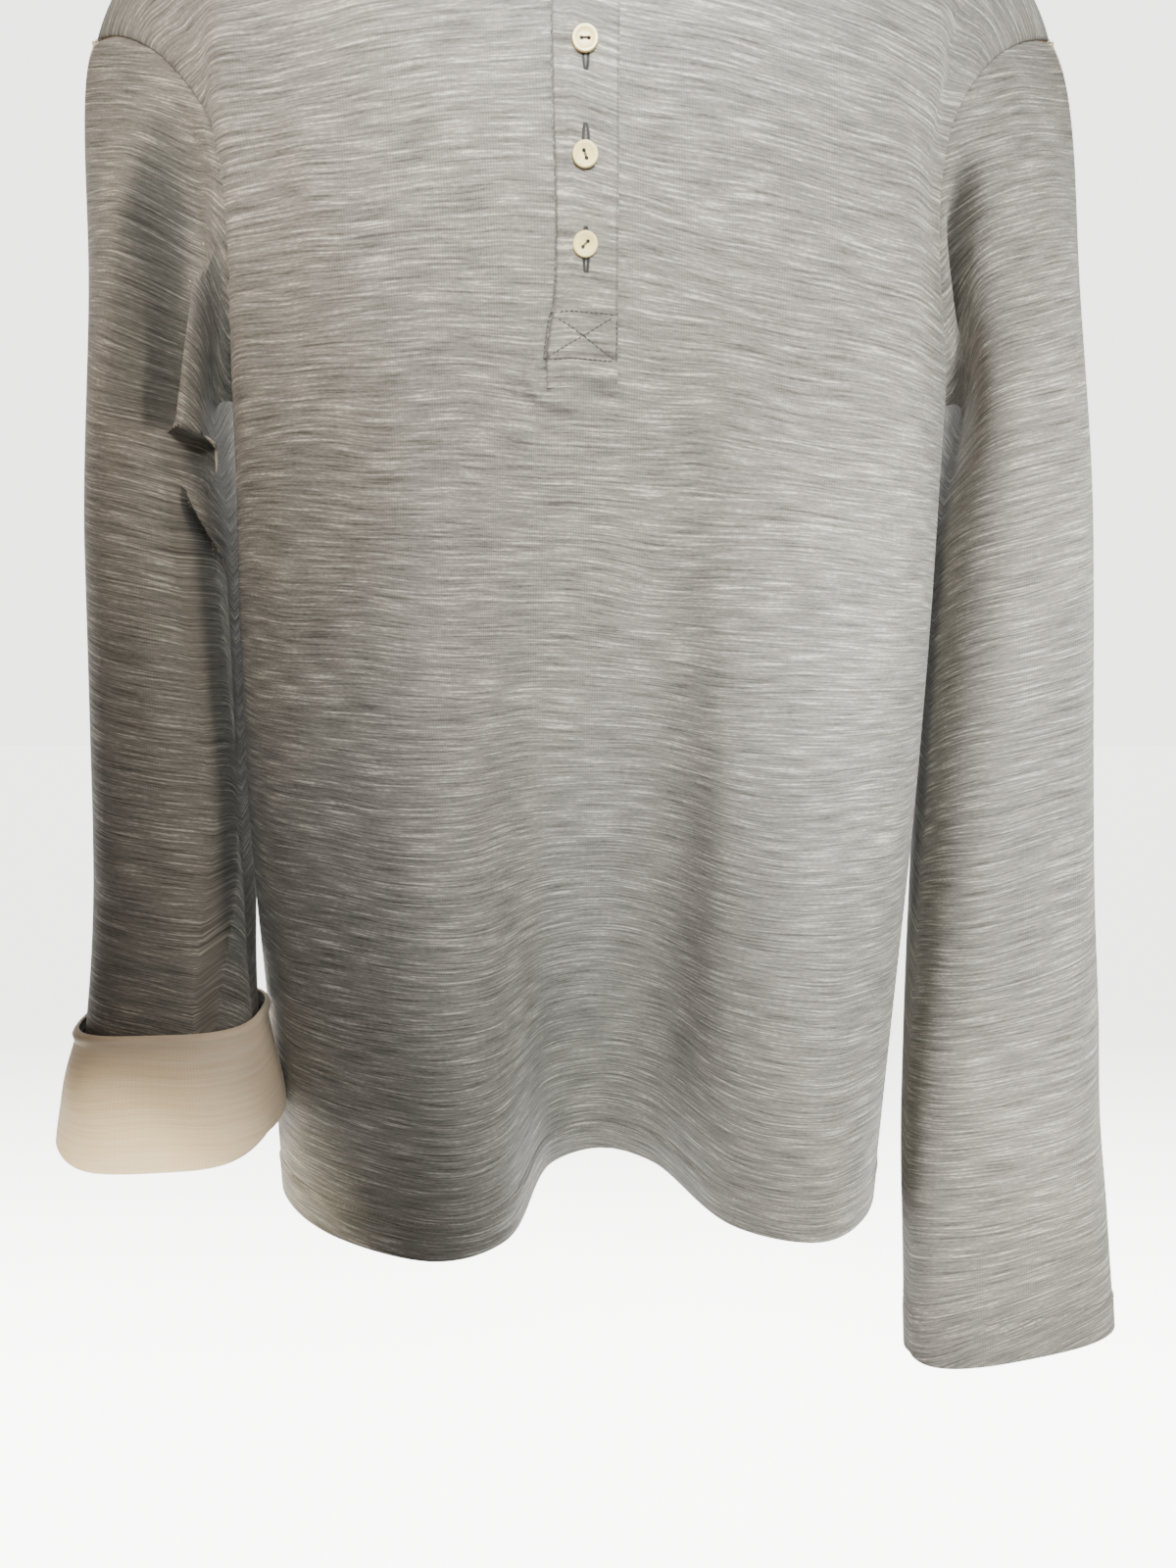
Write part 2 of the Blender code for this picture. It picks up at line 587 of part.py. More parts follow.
def neck_edge(panels):
    """The neck's edge from the placket's free edge right round to it again, both faces."""
    (front_out, front_in), (back_out, back_in) = panels
    left = SIDE_COLUMNS
    opening = left + NECK_COLUMNS
    right = opening + PLACKET_COLUMNS + NECK_COLUMNS
    back_left, back_right = BACK_SIDE_COLUMNS, BACK_COLUMNS - BACK_SIDE_COLUMNS
    edges = []
    for front, back in ((front_out[-1], back_out[-1]), (front_in[-1], back_in[-1])):
        edges.append(np.vstack([
            front[opening:right],
            (front[right:right + 1] + back[back_right:back_right + 1]) / 2,
            back[back_left + 1:back_right][::-1],
            (front[left:left + 1] + back[back_left:back_left + 1]) / 2,
            front[left + 1:opening + 1],
        ]))
        edges[-1][0, 0] += SEAM_GAP
        edges[-1][-1, 0] -= SEAM_GAP
    lengths = np.linalg.norm(np.diff(edges[0], axis=0), axis=1)
    cuts = [0.0]
    for i, length in enumerate(lengths):
        count = math.ceil(length / COLLAR_STEP)
        cuts += [i + (j + 1) / count for j in range(count)]
    corners = np.arange(len(edges[0]))
    outer, inner = (
        np.column_stack([np.interp(cuts, corners, edge[:, axis]) for axis in range(3)])
        for edge in edges
    )
    return outer, inner, -edge_slopes(outer, inner, closed=False)


def evened(points, passes=3):
    """A row of points with its corners eased, ends kept."""
    points = points.copy()
    for _ in range(passes):
        points[1:-1] = points[1:-1] / 2 + (points[:-2] + points[2:]) / 4
    return points


def leaf_edge(neck):
    """Where the collar's leaf ends, held just off the shirt, for each point of the neck."""
    points = []
    turns = [i for i, point in enumerate(neck) if abs(abs(point[0]) - NECK_HALF_WIDTH) < 1e-4]
    first_turn, last_turn = turns[0], turns[-1]
    end = NECK_HALF_WIDTH + COLLAR_REACH
    for i, (x, _, _) in enumerate(neck):
        if first_turn <= i <= last_turn:
            half = 1
            share = 1 - abs(x) / NECK_HALF_WIDTH
            target_x = x * end / NECK_HALF_WIDTH
            low = NECK_BACK_LEVEL - COLLAR_REACH
        else:
            half = 0
            side = 1 if i < first_turn else -1
            share = 1 - (x - PLACKET_LEFT) * side / (NECK_HALF_WIDTH - PLACKET_LEFT * side)
            tip = PLACKET_LEFT + side * COLLAR_SPREAD
            target_x = tip + (side * end - tip) * (1 - share)
            low = COLLAR_POINT_LEVEL
        drop = math.sin(min(max(share, 0.0), 1.0) * math.pi / 2) ** COLLAR_EDGE_ROUNDING
        level = SHOULDER_LEVEL + (low - SHOULDER_LEVEL) * drop
        level = min(level, SHOULDER_LEVEL - SHOULDER_CLEAR)
        arc = arc_at_x(half, level, target_x)
        seat = body_point(half, level, arc)
        points.append(seat + body_normal(half, level, arc) * COLLAR_CLEARANCE)
    return evened(np.array(points), 4)


def held_off(rows, panels, clearance):
    """Moves points that lie closer to the body than clearance straight out from it."""
    trees = []
    for half, (outer, _) in enumerate(panels):
        height, width = outer.shape[:2]
        cells = [(i, j) for i in range(height - 1) for j in range(width - 1)]
        faces = [(i * width + j, i * width + j + 1, (i + 1) * width + j + 1, (i + 1) * width + j)
                 [::(1, -1)[half]] for i, j in cells]
        trees.append(BVHTree.FromPolygons([Vector(p) for p in outer.reshape(-1, 3)], faces))
    for point in rows.reshape(-1, 3):
        hits = [tree.find_nearest(Vector(point)) for tree in trees]
        seat, normal, _, _ = min(hits, key=lambda hit: hit[3])
        gap = normal.dot(Vector(point) - seat)
        if gap < clearance:
            point += np.array(normal) * (clearance - gap)
    return rows


def make_collar(panels, grey):
    """A stand that rises from the neck seam, and the leaf that turns down over it."""
    neck_out, neck_in, slopes = neck_edge(panels)
    outwards = neck_out * (1, 1, 0)
    outwards /= np.linalg.norm(outwards, axis=1)[:, None]
    up = np.array([0.0, 0.0, 1.0])
    start = neck_out + slopes * SEAM_GAP
    top = evened(neck_out + up * COLLAR_STAND - outwards * COLLAR_LEAN)
    stand = np.array(rolled(start, top, slopes * COLLAR_STAND, up * COLLAR_STAND, STAND_ROWS))
    stand_in = stand - outwards * CLOTH
    stand_in[0] = neck_in + slopes * SEAM_GAP
    cloth("collar_stand", stand, stand_in, grey)
    fold = top - outwards * CLOTH / 2 + up * (2 * SEAM_GAP + CLOTH / 2)
    edge = leaf_edge(neck_out)
    roll = up * COLLAR_ROLL[0] + outwards * COLLAR_ROLL[1]
    fall = (edge - fold - outwards * COLLAR_TUCK) * COLLAR_FALL
    leaf = np.array(rolled(fold, edge, roll, fall, LEAF_ROWS))
    leaf[2:] = held_off(leaf[2:], panels, COLLAR_CLEARANCE)
    thickness = grid_normals(leaf, closed=False) * CLOTH / 2
    cloth("collar_leaf", leaf + thickness, leaf - thickness, grey)


def make_buttons(cream):
    for number, (level, turn) in enumerate(zip(BUTTON_LEVELS, BUTTON_TURNS), start=1):
        x = (PLACKET_LEFT + PLACKET_RIGHT) / 2
        arc = arc_at_x(0, level, x)
        normal = body_normal(0, level, arc)
        seat = body_point(0, level, arc) + normal * (PLACKET_RAISE + SEAM_GAP + BUTTON_THICKNESS / 2)
        make_button(f"button_{number}", seat, normal, turn, cream)


def make_button(name, seat, normal, turn, cream):
    """A flat button with a raised rim, a shallow well and two holes, turned from a profile."""
    radius = BUTTON_DIAMETER / 2
    half = BUTTON_THICKNESS / 2
    well = radius - BUTTON_RIM
    ease = BUTTON_EASE
    profile = [
        (0.0, half - BUTTON_WELL),
        (well - ease, half - BUTTON_WELL),
        (well, half),
        (radius - ease, half),
        (radius, half - ease),
        (radius, ease - half),
        (radius - ease, -half),
        (0.0, -half),
    ]
    disc = bmesh.new()
    verts = [disc.verts.new((r, 0, z)) for r, z in profile]
    edges = [disc.edges.new(pair) for pair in zip(verts, verts[1:])]
    bmesh.ops.spin(disc, geom=verts + edges, cent=(0, 0, 0), axis=(0, 0, 1),
                   angle=2 * math.pi, steps=16, use_merge=True, use_duplicate=False)
    bmesh.ops.remove_doubles(disc, verts=disc.verts, dist=1e-6)
    piece = add_object(name, disc, cream)
    piece.rotation_mode = "QUATERNION"
    piece.rotation_quaternion = Vector(normal).to_track_quat("Z", "Y")
    piece.location = seat
    for end in (-1, 1):
        bpy.ops.mesh.primitive_cylinder_add(vertices=8, radius=BUTTON_HOLE / 2, depth=0.01)
        drill = bpy.context.object
        drill.name = f"{name}_drill_{'ab'[end > 0]}"
        drill.parent = piece
        angle = math.radians(turn)
        offset = end * BUTTON_HOLE_SPACING / 2
        drill.location = (offset * math.cos(angle), offset * math.sin(angle), 0)
        drill.hide_render = True
        drill.display_type = "WIRE"
        cut = piece.modifiers.new("hole", "BOOLEAN")
        cut.object = drill
    return piece


def main():
    for leftover in list(bpy.data.objects):
        bpy.data.objects.remove(leftover)
    grey = knit_material("melange_knit", MELANGE_GREY)
    cream = knit_material("cream_inside_face", CREAM_KNIT)
    buttons = knit_material("cream_button", CREAM_BUTTON)
    panels = (make_front(grey), make_back(grey))
    make_placket(grey)
    make_sleeve("sleeve_plain", 1, PLAIN_SLEEVE, panels, grey)
    make_sleeve("sleeve_turned", 0, TURNED_SLEEVE, panels, grey)
    make_turn_back(cream)
    make_collar(panels, grey)
    make_buttons(buttons)


main()
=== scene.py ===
"""Rugby shirt in grey melange double-faced knit, filled out with nobody in it.

The origin lies midway between the two high shoulder points, +X is towards the sleeve with
the plain cuff, -Y is the front and +Z is up. Sizes are in metres. A level is a height down
the side of the body; the courses of the knit rise from it towards the neck.
"""

import math

import bmesh
import bpy
import numpy as np
from mathutils import Matrix, Vector
from mathutils.bvhtree import BVHTree


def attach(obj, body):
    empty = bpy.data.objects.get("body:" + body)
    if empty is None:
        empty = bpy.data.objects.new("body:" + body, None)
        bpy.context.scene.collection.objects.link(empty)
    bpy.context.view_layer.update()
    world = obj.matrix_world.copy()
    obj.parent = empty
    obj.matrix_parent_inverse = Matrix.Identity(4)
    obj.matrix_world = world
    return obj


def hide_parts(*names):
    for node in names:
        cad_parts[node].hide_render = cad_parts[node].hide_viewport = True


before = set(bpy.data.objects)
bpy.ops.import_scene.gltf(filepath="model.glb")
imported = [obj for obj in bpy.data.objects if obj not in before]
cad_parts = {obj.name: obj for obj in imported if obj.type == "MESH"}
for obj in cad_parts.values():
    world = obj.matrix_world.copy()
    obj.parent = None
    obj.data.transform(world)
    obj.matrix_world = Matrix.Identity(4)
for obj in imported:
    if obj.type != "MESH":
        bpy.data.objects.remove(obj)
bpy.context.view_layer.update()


# --- Front panel ---------------------------------------------------------------------
# One piece of double-faced knit, grey melange outside and cream inside, cut to the neck
# and armholes and slit for the placket. It hangs in two lobes with a valley between them,
# its hem is turned up and fixed with two rows of stitches.

CLOTH = 0.0018
SEAM_GAP = 0.0003
SAME = 1e-6  # places closer than this are one place
HEM_LEVEL = -0.697
UNDERARM_LEVEL = -0.270
SHOULDER_LEVEL = -0.078
DOME_LEVEL = -0.215  # above this level front and back close towards the shoulder
RISE_LEVEL = -0.408  # above this level the courses rise towards the neck
NECK_HALF_WIDTH = 0.080
NECK_LEVELS = (-0.152, -0.098)  # lowest of the neckline, front and back
NECK_CURVE = (2.4, 0.55)
NECK_PEAK = 0.012
SHOULDER_MIDDLE = -0.0075
SHOULDER_REACH = 0.240
SHOULDER_SLOPE = 0.55
SHOULDER_END = 12
SHOULDER_ROUNDING = 2.6
PLACKET_LEFT = -0.0175
PLACKET_RIGHT = 0.0145
PLACKET_FOOT = UNDERARM_LEVEL

# Sections of the body in millimetres: level; x of both sides and their y; the left lobe;
# where its flank starts to drop and where it lands; the valley; the right flank and lobe;
# the back and the depth of the fold down its middle.
BODY_SECTIONS = np.array([
    # level side_l side_r side_y  lobe_l     brow  foot  valley    foot brow  lobe_r     back fold
    ( -697,  -183,  170,  -12,   -80,  -94,  -46,  -22,   9,   25,  38,  82,  128,  -77,  78,  26),
    ( -600,  -185,  175,  -12,   -84,  -94,  -52,  -22,   8,    2,  38,  78,  124,  -80,  84,  25),
    ( -480,  -190,  182,  -10,   -94,  -89,  -62,  -26,   6,  -24,  38,  74,  118,  -80,  90,  23),
    ( -360,  -190,  187,   -6,  -100,  -80,  -72,  -34,   3,  -44,  38,  70,  112,  -73,  95,  20),
    ( -270,  -188,  189,   -2,  -104,  -71,  -76,  -40,   0,  -53,  38,  68,  110,  -67,  98,  16),
    ( -210,  -192,  191,    0,  -106,  -70,  -78,  -42,   0,  -62,  38,  70,  110,  -66,  96,  10),
    ( -150,  -212,  202,    0,  -108,  -73,  -80,  -44,   0,  -70,  40,  72,  112,  -70,  90,   6),
    (  -78,  -247,  232,    0,  -115,  -78,  -84,  -46,   0,  -78,  42,  76,  116,  -76,  84,   0),
]) / 1000
FLANKS = (0.15, 0.85)  # shares of the drop from lobe to valley, at its brow and its foot
SIDE_CORNER = (0.36, 0.67)
BACK_CORNER = (0.90, 0.60)
BACK_LOBES = (0.55, 0.52)
SPREAD_LEVEL = -0.450
SPAN_POINTS = 40
FRONT_SPANS = 10  # of a section's sixteen; the back takes the rest

# How far the armhole seam lies in from the side, along the cloth.
ARMHOLE = np.array([
    # level   front  back
    (-0.270, 0.000, 0.000),
    (-0.248, 0.017, 0.017),
    (-0.225, 0.031, 0.030),
    (-0.195, 0.043, 0.041),
    (-0.165, 0.044, 0.044),
    (-0.140, 0.032, 0.034),
    (-0.110, 0.014, 0.014),
    (-0.078, 0.000, 0.000),
])


def smooth_steps(value, start, end):
    """0 before start, 1 after end, and an even S between."""
    share = np.clip((value - start) / (end - start), 0.0, 1.0)
    return share * share * (3.0 - 2.0 * share)


def bell(distance, width):
    """1 at no distance, and nearly 0 from twice the width on."""
    return np.exp(-((distance / width) ** 2))


def path_point(start, end, leave, arrive, share):
    """Where a smooth path is that leaves its start and arrives at its end as given."""
    rise = share * share * (3 - 2 * share)
    return (
        start * (1 - rise)
        + end * rise
        + leave * share * (1 - share) ** 2
        - arrive * share * share * (1 - share)
    )


def unit(vectors):
    """Vectors made 1 long."""
    return vectors / np.linalg.norm(vectors, axis=-1, keepdims=True)


def smooth_table(table, at):
    """Rows of a table at any values of its first column, on one smooth curve."""
    order = np.argsort(table[:, 0])
    knots, values = table[order, 0], table[order, 1:]
    slopes = np.gradient(values, knots, axis=0)
    at = np.clip(np.atleast_1d(at), knots[0], knots[-1])
    i = np.clip(np.searchsorted(knots, at) - 1, 0, len(knots) - 2)
    span = (knots[i + 1] - knots[i])[:, None]
    share = (at - knots[i])[:, None] / span
    return path_point(values[i], values[i + 1], slopes[i] * span, slopes[i + 1] * span, share)


def closed_curve(points, per_span):
    """A smooth closed curve through points."""
    wrapped = np.vstack([points[-2:], points, points[:3]])
    steps = np.linalg.norm(np.diff(wrapped, axis=0), axis=1)
    knots = np.concatenate([[0.0], np.cumsum(steps**0.5)])
    slopes = np.gradient(wrapped, knots, axis=0)
    share = (np.arange(per_span) / per_span)[:, None]
    spans = []
    for i in range(2, 2 + len(points)):
        span = knots[i + 1] - knots[i]
        leave, arrive = slopes[i] * span, slopes[i + 1] * span
        spans.append(path_point(wrapped[i], wrapped[i + 1], leave, arrive, share))
    return np.vstack(spans)


def arc_lengths(line):
    """How far along a line of points each of them is."""
    return np.concatenate([[0.0], np.cumsum(np.linalg.norm(np.diff(line, axis=0), axis=1))])


def at_lengths(line, lengths, wanted):
    """Points of a line at any lengths along it, from the lengths of its own points."""
    return np.column_stack([np.interp(wanted, lengths, line[:, axis]) for axis in range(line.shape[1])])


def body_halves(section):
    """Front and back halves of one section of the body, left side to right side."""
    (left, right, side_y, lobe_lx, lobe_ly, brow_l, foot_l, valley_x, valley_y,
     foot_r, brow_r, lobe_rx, lobe_ry, back, fold) = section
    across, forwards = SIDE_CORNER
    drop_l, drop_r = valley_y - lobe_ly, valley_y - lobe_ry
    corner_x = BACK_CORNER[0]
    corner_y = side_y + (back - side_y) * BACK_CORNER[1]
    controls = np.array([
        (left, side_y),
        (left + (lobe_lx - left) * across, side_y + (lobe_ly - side_y) * forwards),
        (lobe_lx, lobe_ly),
        (brow_l, lobe_ly + drop_l * FLANKS[0]),
        (foot_l, lobe_ly + drop_l * FLANKS[1]),
        (valley_x, valley_y),
        (foot_r, lobe_ry + drop_r * FLANKS[1]),
        (brow_r, lobe_ry + drop_r * FLANKS[0]),
        (lobe_rx, lobe_ry),
        (right + (lobe_rx - right) * across, side_y + (lobe_ry - side_y) * forwards),
        (right, side_y),
        (right * corner_x, corner_y),
        (right * BACK_LOBES[1], back),
        (0.0, back - fold),
        (left * BACK_LOBES[0], back),
        (left * corner_x, corner_y),
    ])
    curve = closed_curve(controls, SPAN_POINTS)
    cut = FRONT_SPANS * SPAN_POINTS
    return curve[: cut + 1], np.vstack([curve[cut:], curve[:1]])[::-1]


# Both halves of the body at many levels, each as points evenly spaced along its section.
LEVELS = np.linspace(HEM_LEVEL, SHOULDER_LEVEL, 311)
EVEN = np.linspace(0, 1, 401)
LENGTHS = np.zeros((2, len(LEVELS)))
RINGS = np.zeros((2, len(LEVELS), len(EVEN), 2))
for row, section in enumerate(smooth_table(BODY_SECTIONS, LEVELS)):
    for half, line in enumerate(body_halves(section)):
        lengths = arc_lengths(line)
        LENGTHS[half, row] = lengths[-1]
        RINGS[half, row] = at_lengths(line, lengths, EVEN * lengths[-1])


def level_rows(level):
    """Where levels fall between the rows above: the lower row and the share of the step."""
    place = (level - HEM_LEVEL) / (SHOULDER_LEVEL - HEM_LEVEL) * (len(LEVELS) - 1)
    low = np.clip(place.astype(int), 0, len(LEVELS) - 2)
    return low, np.clip(place - low, 0, 1)


def shoulder_height(x):
    """Height of the shoulder seam: an even slope that rounds over at its outer end."""
    reach = np.minimum(abs(x - SHOULDER_MIDDLE) / SHOULDER_REACH, 1.0)
    fall = SHOULDER_SLOPE * reach + (1 - SHOULDER_SLOPE) * reach**SHOULDER_END
    return NECK_PEAK + (SHOULDER_LEVEL - NECK_PEAK) * fall


def body_points(half, level, arc):
    """Points of the outer face: half 0 is the front and 1 the back, arc runs left to right."""
    low, share = level_rows(level)
    xy = 0.0
    for step, weight in ((0, 1 - share), (1, share)):
        place = np.clip(arc / LENGTHS[half][low + step], 0, 1) * (len(EVEN) - 1)
        left = np.clip(place.astype(int), 0, len(EVEN) - 2)
        part = (place - left)[..., None]
        ring = RINGS[half]
        between = ring[low + step, left] * (1 - part) + ring[low + step, left + 1] * part
        xy = xy + between * weight[..., None]
    x, y = xy[..., 0], xy[..., 1]
    closing = np.clip((level - DOME_LEVEL) / (SHOULDER_LEVEL - DOME_LEVEL), 0.0, 1.0)
    dome = (1.0 - closing**SHOULDER_ROUNDING) ** 0.5
    lift = smooth_steps(level, RISE_LEVEL, SHOULDER_LEVEL) * (shoulder_height(x) - SHOULDER_LEVEL)
    side = (-1, 1)[half] * SEAM_GAP / 2
    return np.stack([x, y * dome + side * (closing > 0.999), level + lift], axis=-1)


def arc_at_x(half, level, x):
    """Arc at which a section passes a value of x, for arrays of levels and x."""
    low, share = level_rows(level)
    found = []
    for row, part, at in zip(low.ravel(), share.ravel(), np.broadcast_to(x, level.shape).ravel()):
        ends = [
            np.interp(at, RINGS[half, row + step, :, 0], EVEN * LENGTHS[half, row + step])
            for step in (0, 1)
        ]
        found.append(ends[0] * (1 - part) + ends[1] * part)
    return np.array(found).reshape(level.shape)


def neck_level(half, x):
    """Level that a column of the panel ends on: its neckline, or the shoulder seam."""
    reach = np.minimum(abs(x) / NECK_HALF_WIDTH, 1.0)
    middle, end = NECK_CURVE
    return SHOULDER_LEVEL + (NECK_LEVELS[half] - SHOULDER_LEVEL) * (1.0 - reach**middle) ** end


SEAM_COLUMNS = np.array([0.0007, 0.0016, 0.0030])  # how far in from a seam the extra columns lie


def panel_columns(stops, counts, more=()):
    """Columns along the shoulder seam and neckline, with three more just inside each end."""
    columns = list(stops[:1])
    for a, b, count in zip(stops, stops[1:], counts):
        shares = np.arange(1, count + 1) / count
        if max(abs(a), abs(b)) > NECK_HALF_WIDTH:
            columns += list(a + (b - a) * shares)
        else:
            start, end = (math.asin(x / NECK_HALF_WIDTH) for x in (a, b))
            columns += list(NECK_HALF_WIDTH * np.sin(start + (end - start) * shares))
    return np.sort(np.concatenate([columns, stops[0] + SEAM_COLUMNS, stops[-1] - SEAM_COLUMNS, more]))


def column_arcs(half, level, columns):
    """Arcs of a row's columns: evenly spread at the hem, on their own x near the neck."""
    inset = smooth_table(ARMHOLE, level)[0, half] if level > UNDERARM_LEVEL else 0.0
    start = max(inset, SEAM_GAP / 2)
    low, share = level_rows(np.array(level))
    x = RINGS[half, low, :, 0] * (1 - share) + RINGS[half, low + 1, :, 0] * share
    length = LENGTHS[half, low] * (1 - share) + LENGTHS[half, low + 1] * share
    spread = np.interp(columns, columns[[0, -1]], (start, length - start))
    inner = columns[abs(columns) < NECK_HALF_WIDTH + SAME]
    stops = np.concatenate([columns[:1], inner, columns[-1:]])
    own = np.concatenate([[start], np.interp(inner, x, EVEN * length), [length - start]])
    near = smooth_steps(level, SPREAD_LEVEL, UNDERARM_LEVEL)
    return spread + (np.interp(columns, stops, own) - spread) * near


HEM_HEIGHT = 0.022  # of the turned-up hem
BODY_ROWS = np.concatenate([
    [0, 0.0006, 0.0016],
    np.linspace(0.0035, HEM_HEIGHT - 0.0025, 6),
    HEM_HEIGHT + np.array([-0.0011, -0.0004, 0.0004, 0.0011]),
    np.linspace(HEM_HEIGHT + 0.0028, PLACKET_FOOT - 0.022 - HEM_LEVEL, 92),
    np.linspace(PLACKET_FOOT - 0.022 - HEM_LEVEL, UNDERARM_LEVEL - HEM_LEVEL, 19)[1:],
]) + HEM_LEVEL
UPPER_ROWS = 64
UPPER_SHARES = 1 - (1 - np.linspace(0, 1, UPPER_ROWS + 1)) ** 1.7


def panel_grid(half, columns):
    """Levels and arcs of a panel's points, hem row first."""
    rows = [(np.full(len(columns), level), column_arcs(half, level, columns)) for level in BODY_ROWS]
    ends = neck_level(half, columns)
    for share in UPPER_SHARES[1:]:
        levels = UNDERARM_LEVEL + (ends - UNDERARM_LEVEL) * share
        stops = np.unique(levels)
        table = np.array([column_arcs(half, level, columns) for level in stops])
        rows.append((levels, table[np.searchsorted(stops, levels), np.arange(len(columns))]))
    return np.array([row[0] for row in rows]), np.array([row[1] for row in rows])


def grid_normals(grid, closed=False):
    """Directions square to a grid of points, from its neighbours."""
    if closed:
        around = np.roll(grid, -1, axis=1) - np.roll(grid, 1, axis=1)
    else:
        around = np.gradient(grid, axis=1)
    return unit(np.cross(around, np.gradient(grid, axis=0)))


def ridge_normals(x):
    """Outward directions along the shoulder seam, where front and back meet."""
    step = 0.001
    slope = (shoulder_height(x + step) - shoulder_height(x - step)) / (2 * step)
    return np.stack([-slope, 0 * x, 0 * x + 1], axis=-1) / np.hypot(slope, 1.0)[:, None]


def panel_normals(half, points):
    normals = grid_normals(points) * (1, -1)[half]
    shoulder = abs(points[-1, :, 0]) >= NECK_HALF_WIDTH - SAME
    normals[-1, shoulder] = ridge_normals(points[-1, shoulder, 0])
    return normals


def crease_depth(table, across, up):
    """How far soft troughs (below 0) and ridges move the cloth, for points across and up.

    Each row of the table has a start, a middle and an end, half a width and a height.
    """
    depth = np.zeros_like(across)
    for x0, z0, x1, z1, x2, z2, width, height in table / 1000:
        t = np.linspace(0, 1, 25)[:, None]
        corner = 2 * np.array([x1, z1]) - (np.array([x0, z0]) + np.array([x2, z2])) / 2
        line = (1 - t) ** 2 * (x0, z0) + 2 * t * (1 - t) * corner + t * t * (x2, z2)
        reach = 3 * width
        near = (
            (across > line[:, 0].min() - reach) & (across < line[:, 0].max() + reach)
            & (up > line[:, 1].min() - reach) & (up < line[:, 1].max() + reach)
        )
        gaps = np.hypot(across[near][:, None] - line[:, 0], up[near][:, None] - line[:, 1])
        nearest = gaps.argmin(axis=1)
        along = nearest / (len(t) - 1)
        fade = np.sin(np.pi * np.clip(0.04 + 0.92 * along, 0, 1)) ** 0.8
        gap = gaps[np.arange(len(nearest)), nearest]
        depth[near] += height * fade * bell(gap, width)
    return depth


def srgb(code):
    """A hex colour as the linear red, green, blue and alpha that a shader takes."""
    values = [int(code[i:i + 2], 16) / 255 for i in (1, 3, 5)]
    linear = [v / 12.92 if v <= 0.04045 else ((v + 0.055) / 1.055) ** 2.4 for v in values]
    return (*linear, 1.0)


def add_node(tree, kind, inputs=None, **settings):
    """A node with settings, and inputs that are values or the outputs of other nodes."""
    made = tree.nodes.new(kind)
    for name, value in settings.items():
        setattr(made, name, value)
    for name, value in (inputs or {}).items():
        if isinstance(value, bpy.types.NodeSocket):
            tree.links.new(value, made.inputs[name])
        else:
            made.inputs[name].default_value = value
    return made


def cloth_noise(tree, place, across, up, detail, rough, seed):
    """Noise in the cloth's own sizes: across and up are the lengths of one fleck."""
    scaled = add_node(tree, "ShaderNodeVectorMath", {0: place, 1: (1 / across, 1 / up, 1)},
                      operation="MULTIPLY")
    moved = add_node(tree, "ShaderNodeVectorMath", {0: scaled.outputs[0], 1: (seed, seed * 1.7, seed)},
                     operation="ADD")
    made = add_node(tree, "ShaderNodeTexNoise",
                    {"Vector": moved.outputs[0], "Scale": 1.0, "Detail": detail, "Roughness": rough})
    return made.outputs["Fac"]


def weighed(tree, parts):
    """The sum of outputs, each times its weight, around 0.5."""
    total = 0.5
    for output, weight in parts:
        centred = add_node(tree, "ShaderNodeMath", {0: output, 1: 0.5}, operation="SUBTRACT")
        added = add_node(tree, "ShaderNodeMath", {0: centred.outputs[0], 1: weight, 2: total},
                         operation="MULTIPLY_ADD")
        total = added.outputs[0]
    return total


def new_material(name, roughness, ior):
    """A material with its node tree and its shader."""
    material = bpy.data.materials.new(name)
    material.use_nodes = True
    shader = material.node_tree.nodes["Principled BSDF"]
    shader.inputs["Roughness"].default_value = roughness
    shader.inputs["IOR"].default_value = ior
    return material, material.node_tree, shader


def tint(tree, shader, amount, tones):
    """Colours a shader by an amount; each tone is the amount that it stands for and its colour."""
    ramp = add_node(tree, "ShaderNodeValToRGB", {"Fac": amount})
    stops = ramp.color_ramp.elements
    while len(stops) < len(tones):
        stops.new(0.5)
    for stop, (position, colour) in zip(stops, tones):
        stop.position = position
        stop.color = srgb(colour)
    tree.links.new(ramp.outputs["Color"], shader.inputs["Base Color"])


KNIT_PITCH = (("X", 0.0013), ("Y", 0.0011))  # of the ribs and of the courses, in the drawn cloth
# Flecks of the yarn: slubs, bands of like tone, single fibres and faint clouds.
KNIT_FLECKS = (
    # across   up     detail roughness seed
    (0.0220, 0.0010, 1.0, 0.45, 0.0),
    (0.0600, 0.0022, 1.0, 0.40, 7.3),
    (0.0028, 0.0007, 1.0, 0.50, 3.1),
    (0.0350, 0.0200, 2.0, 0.50, 5.9),
)


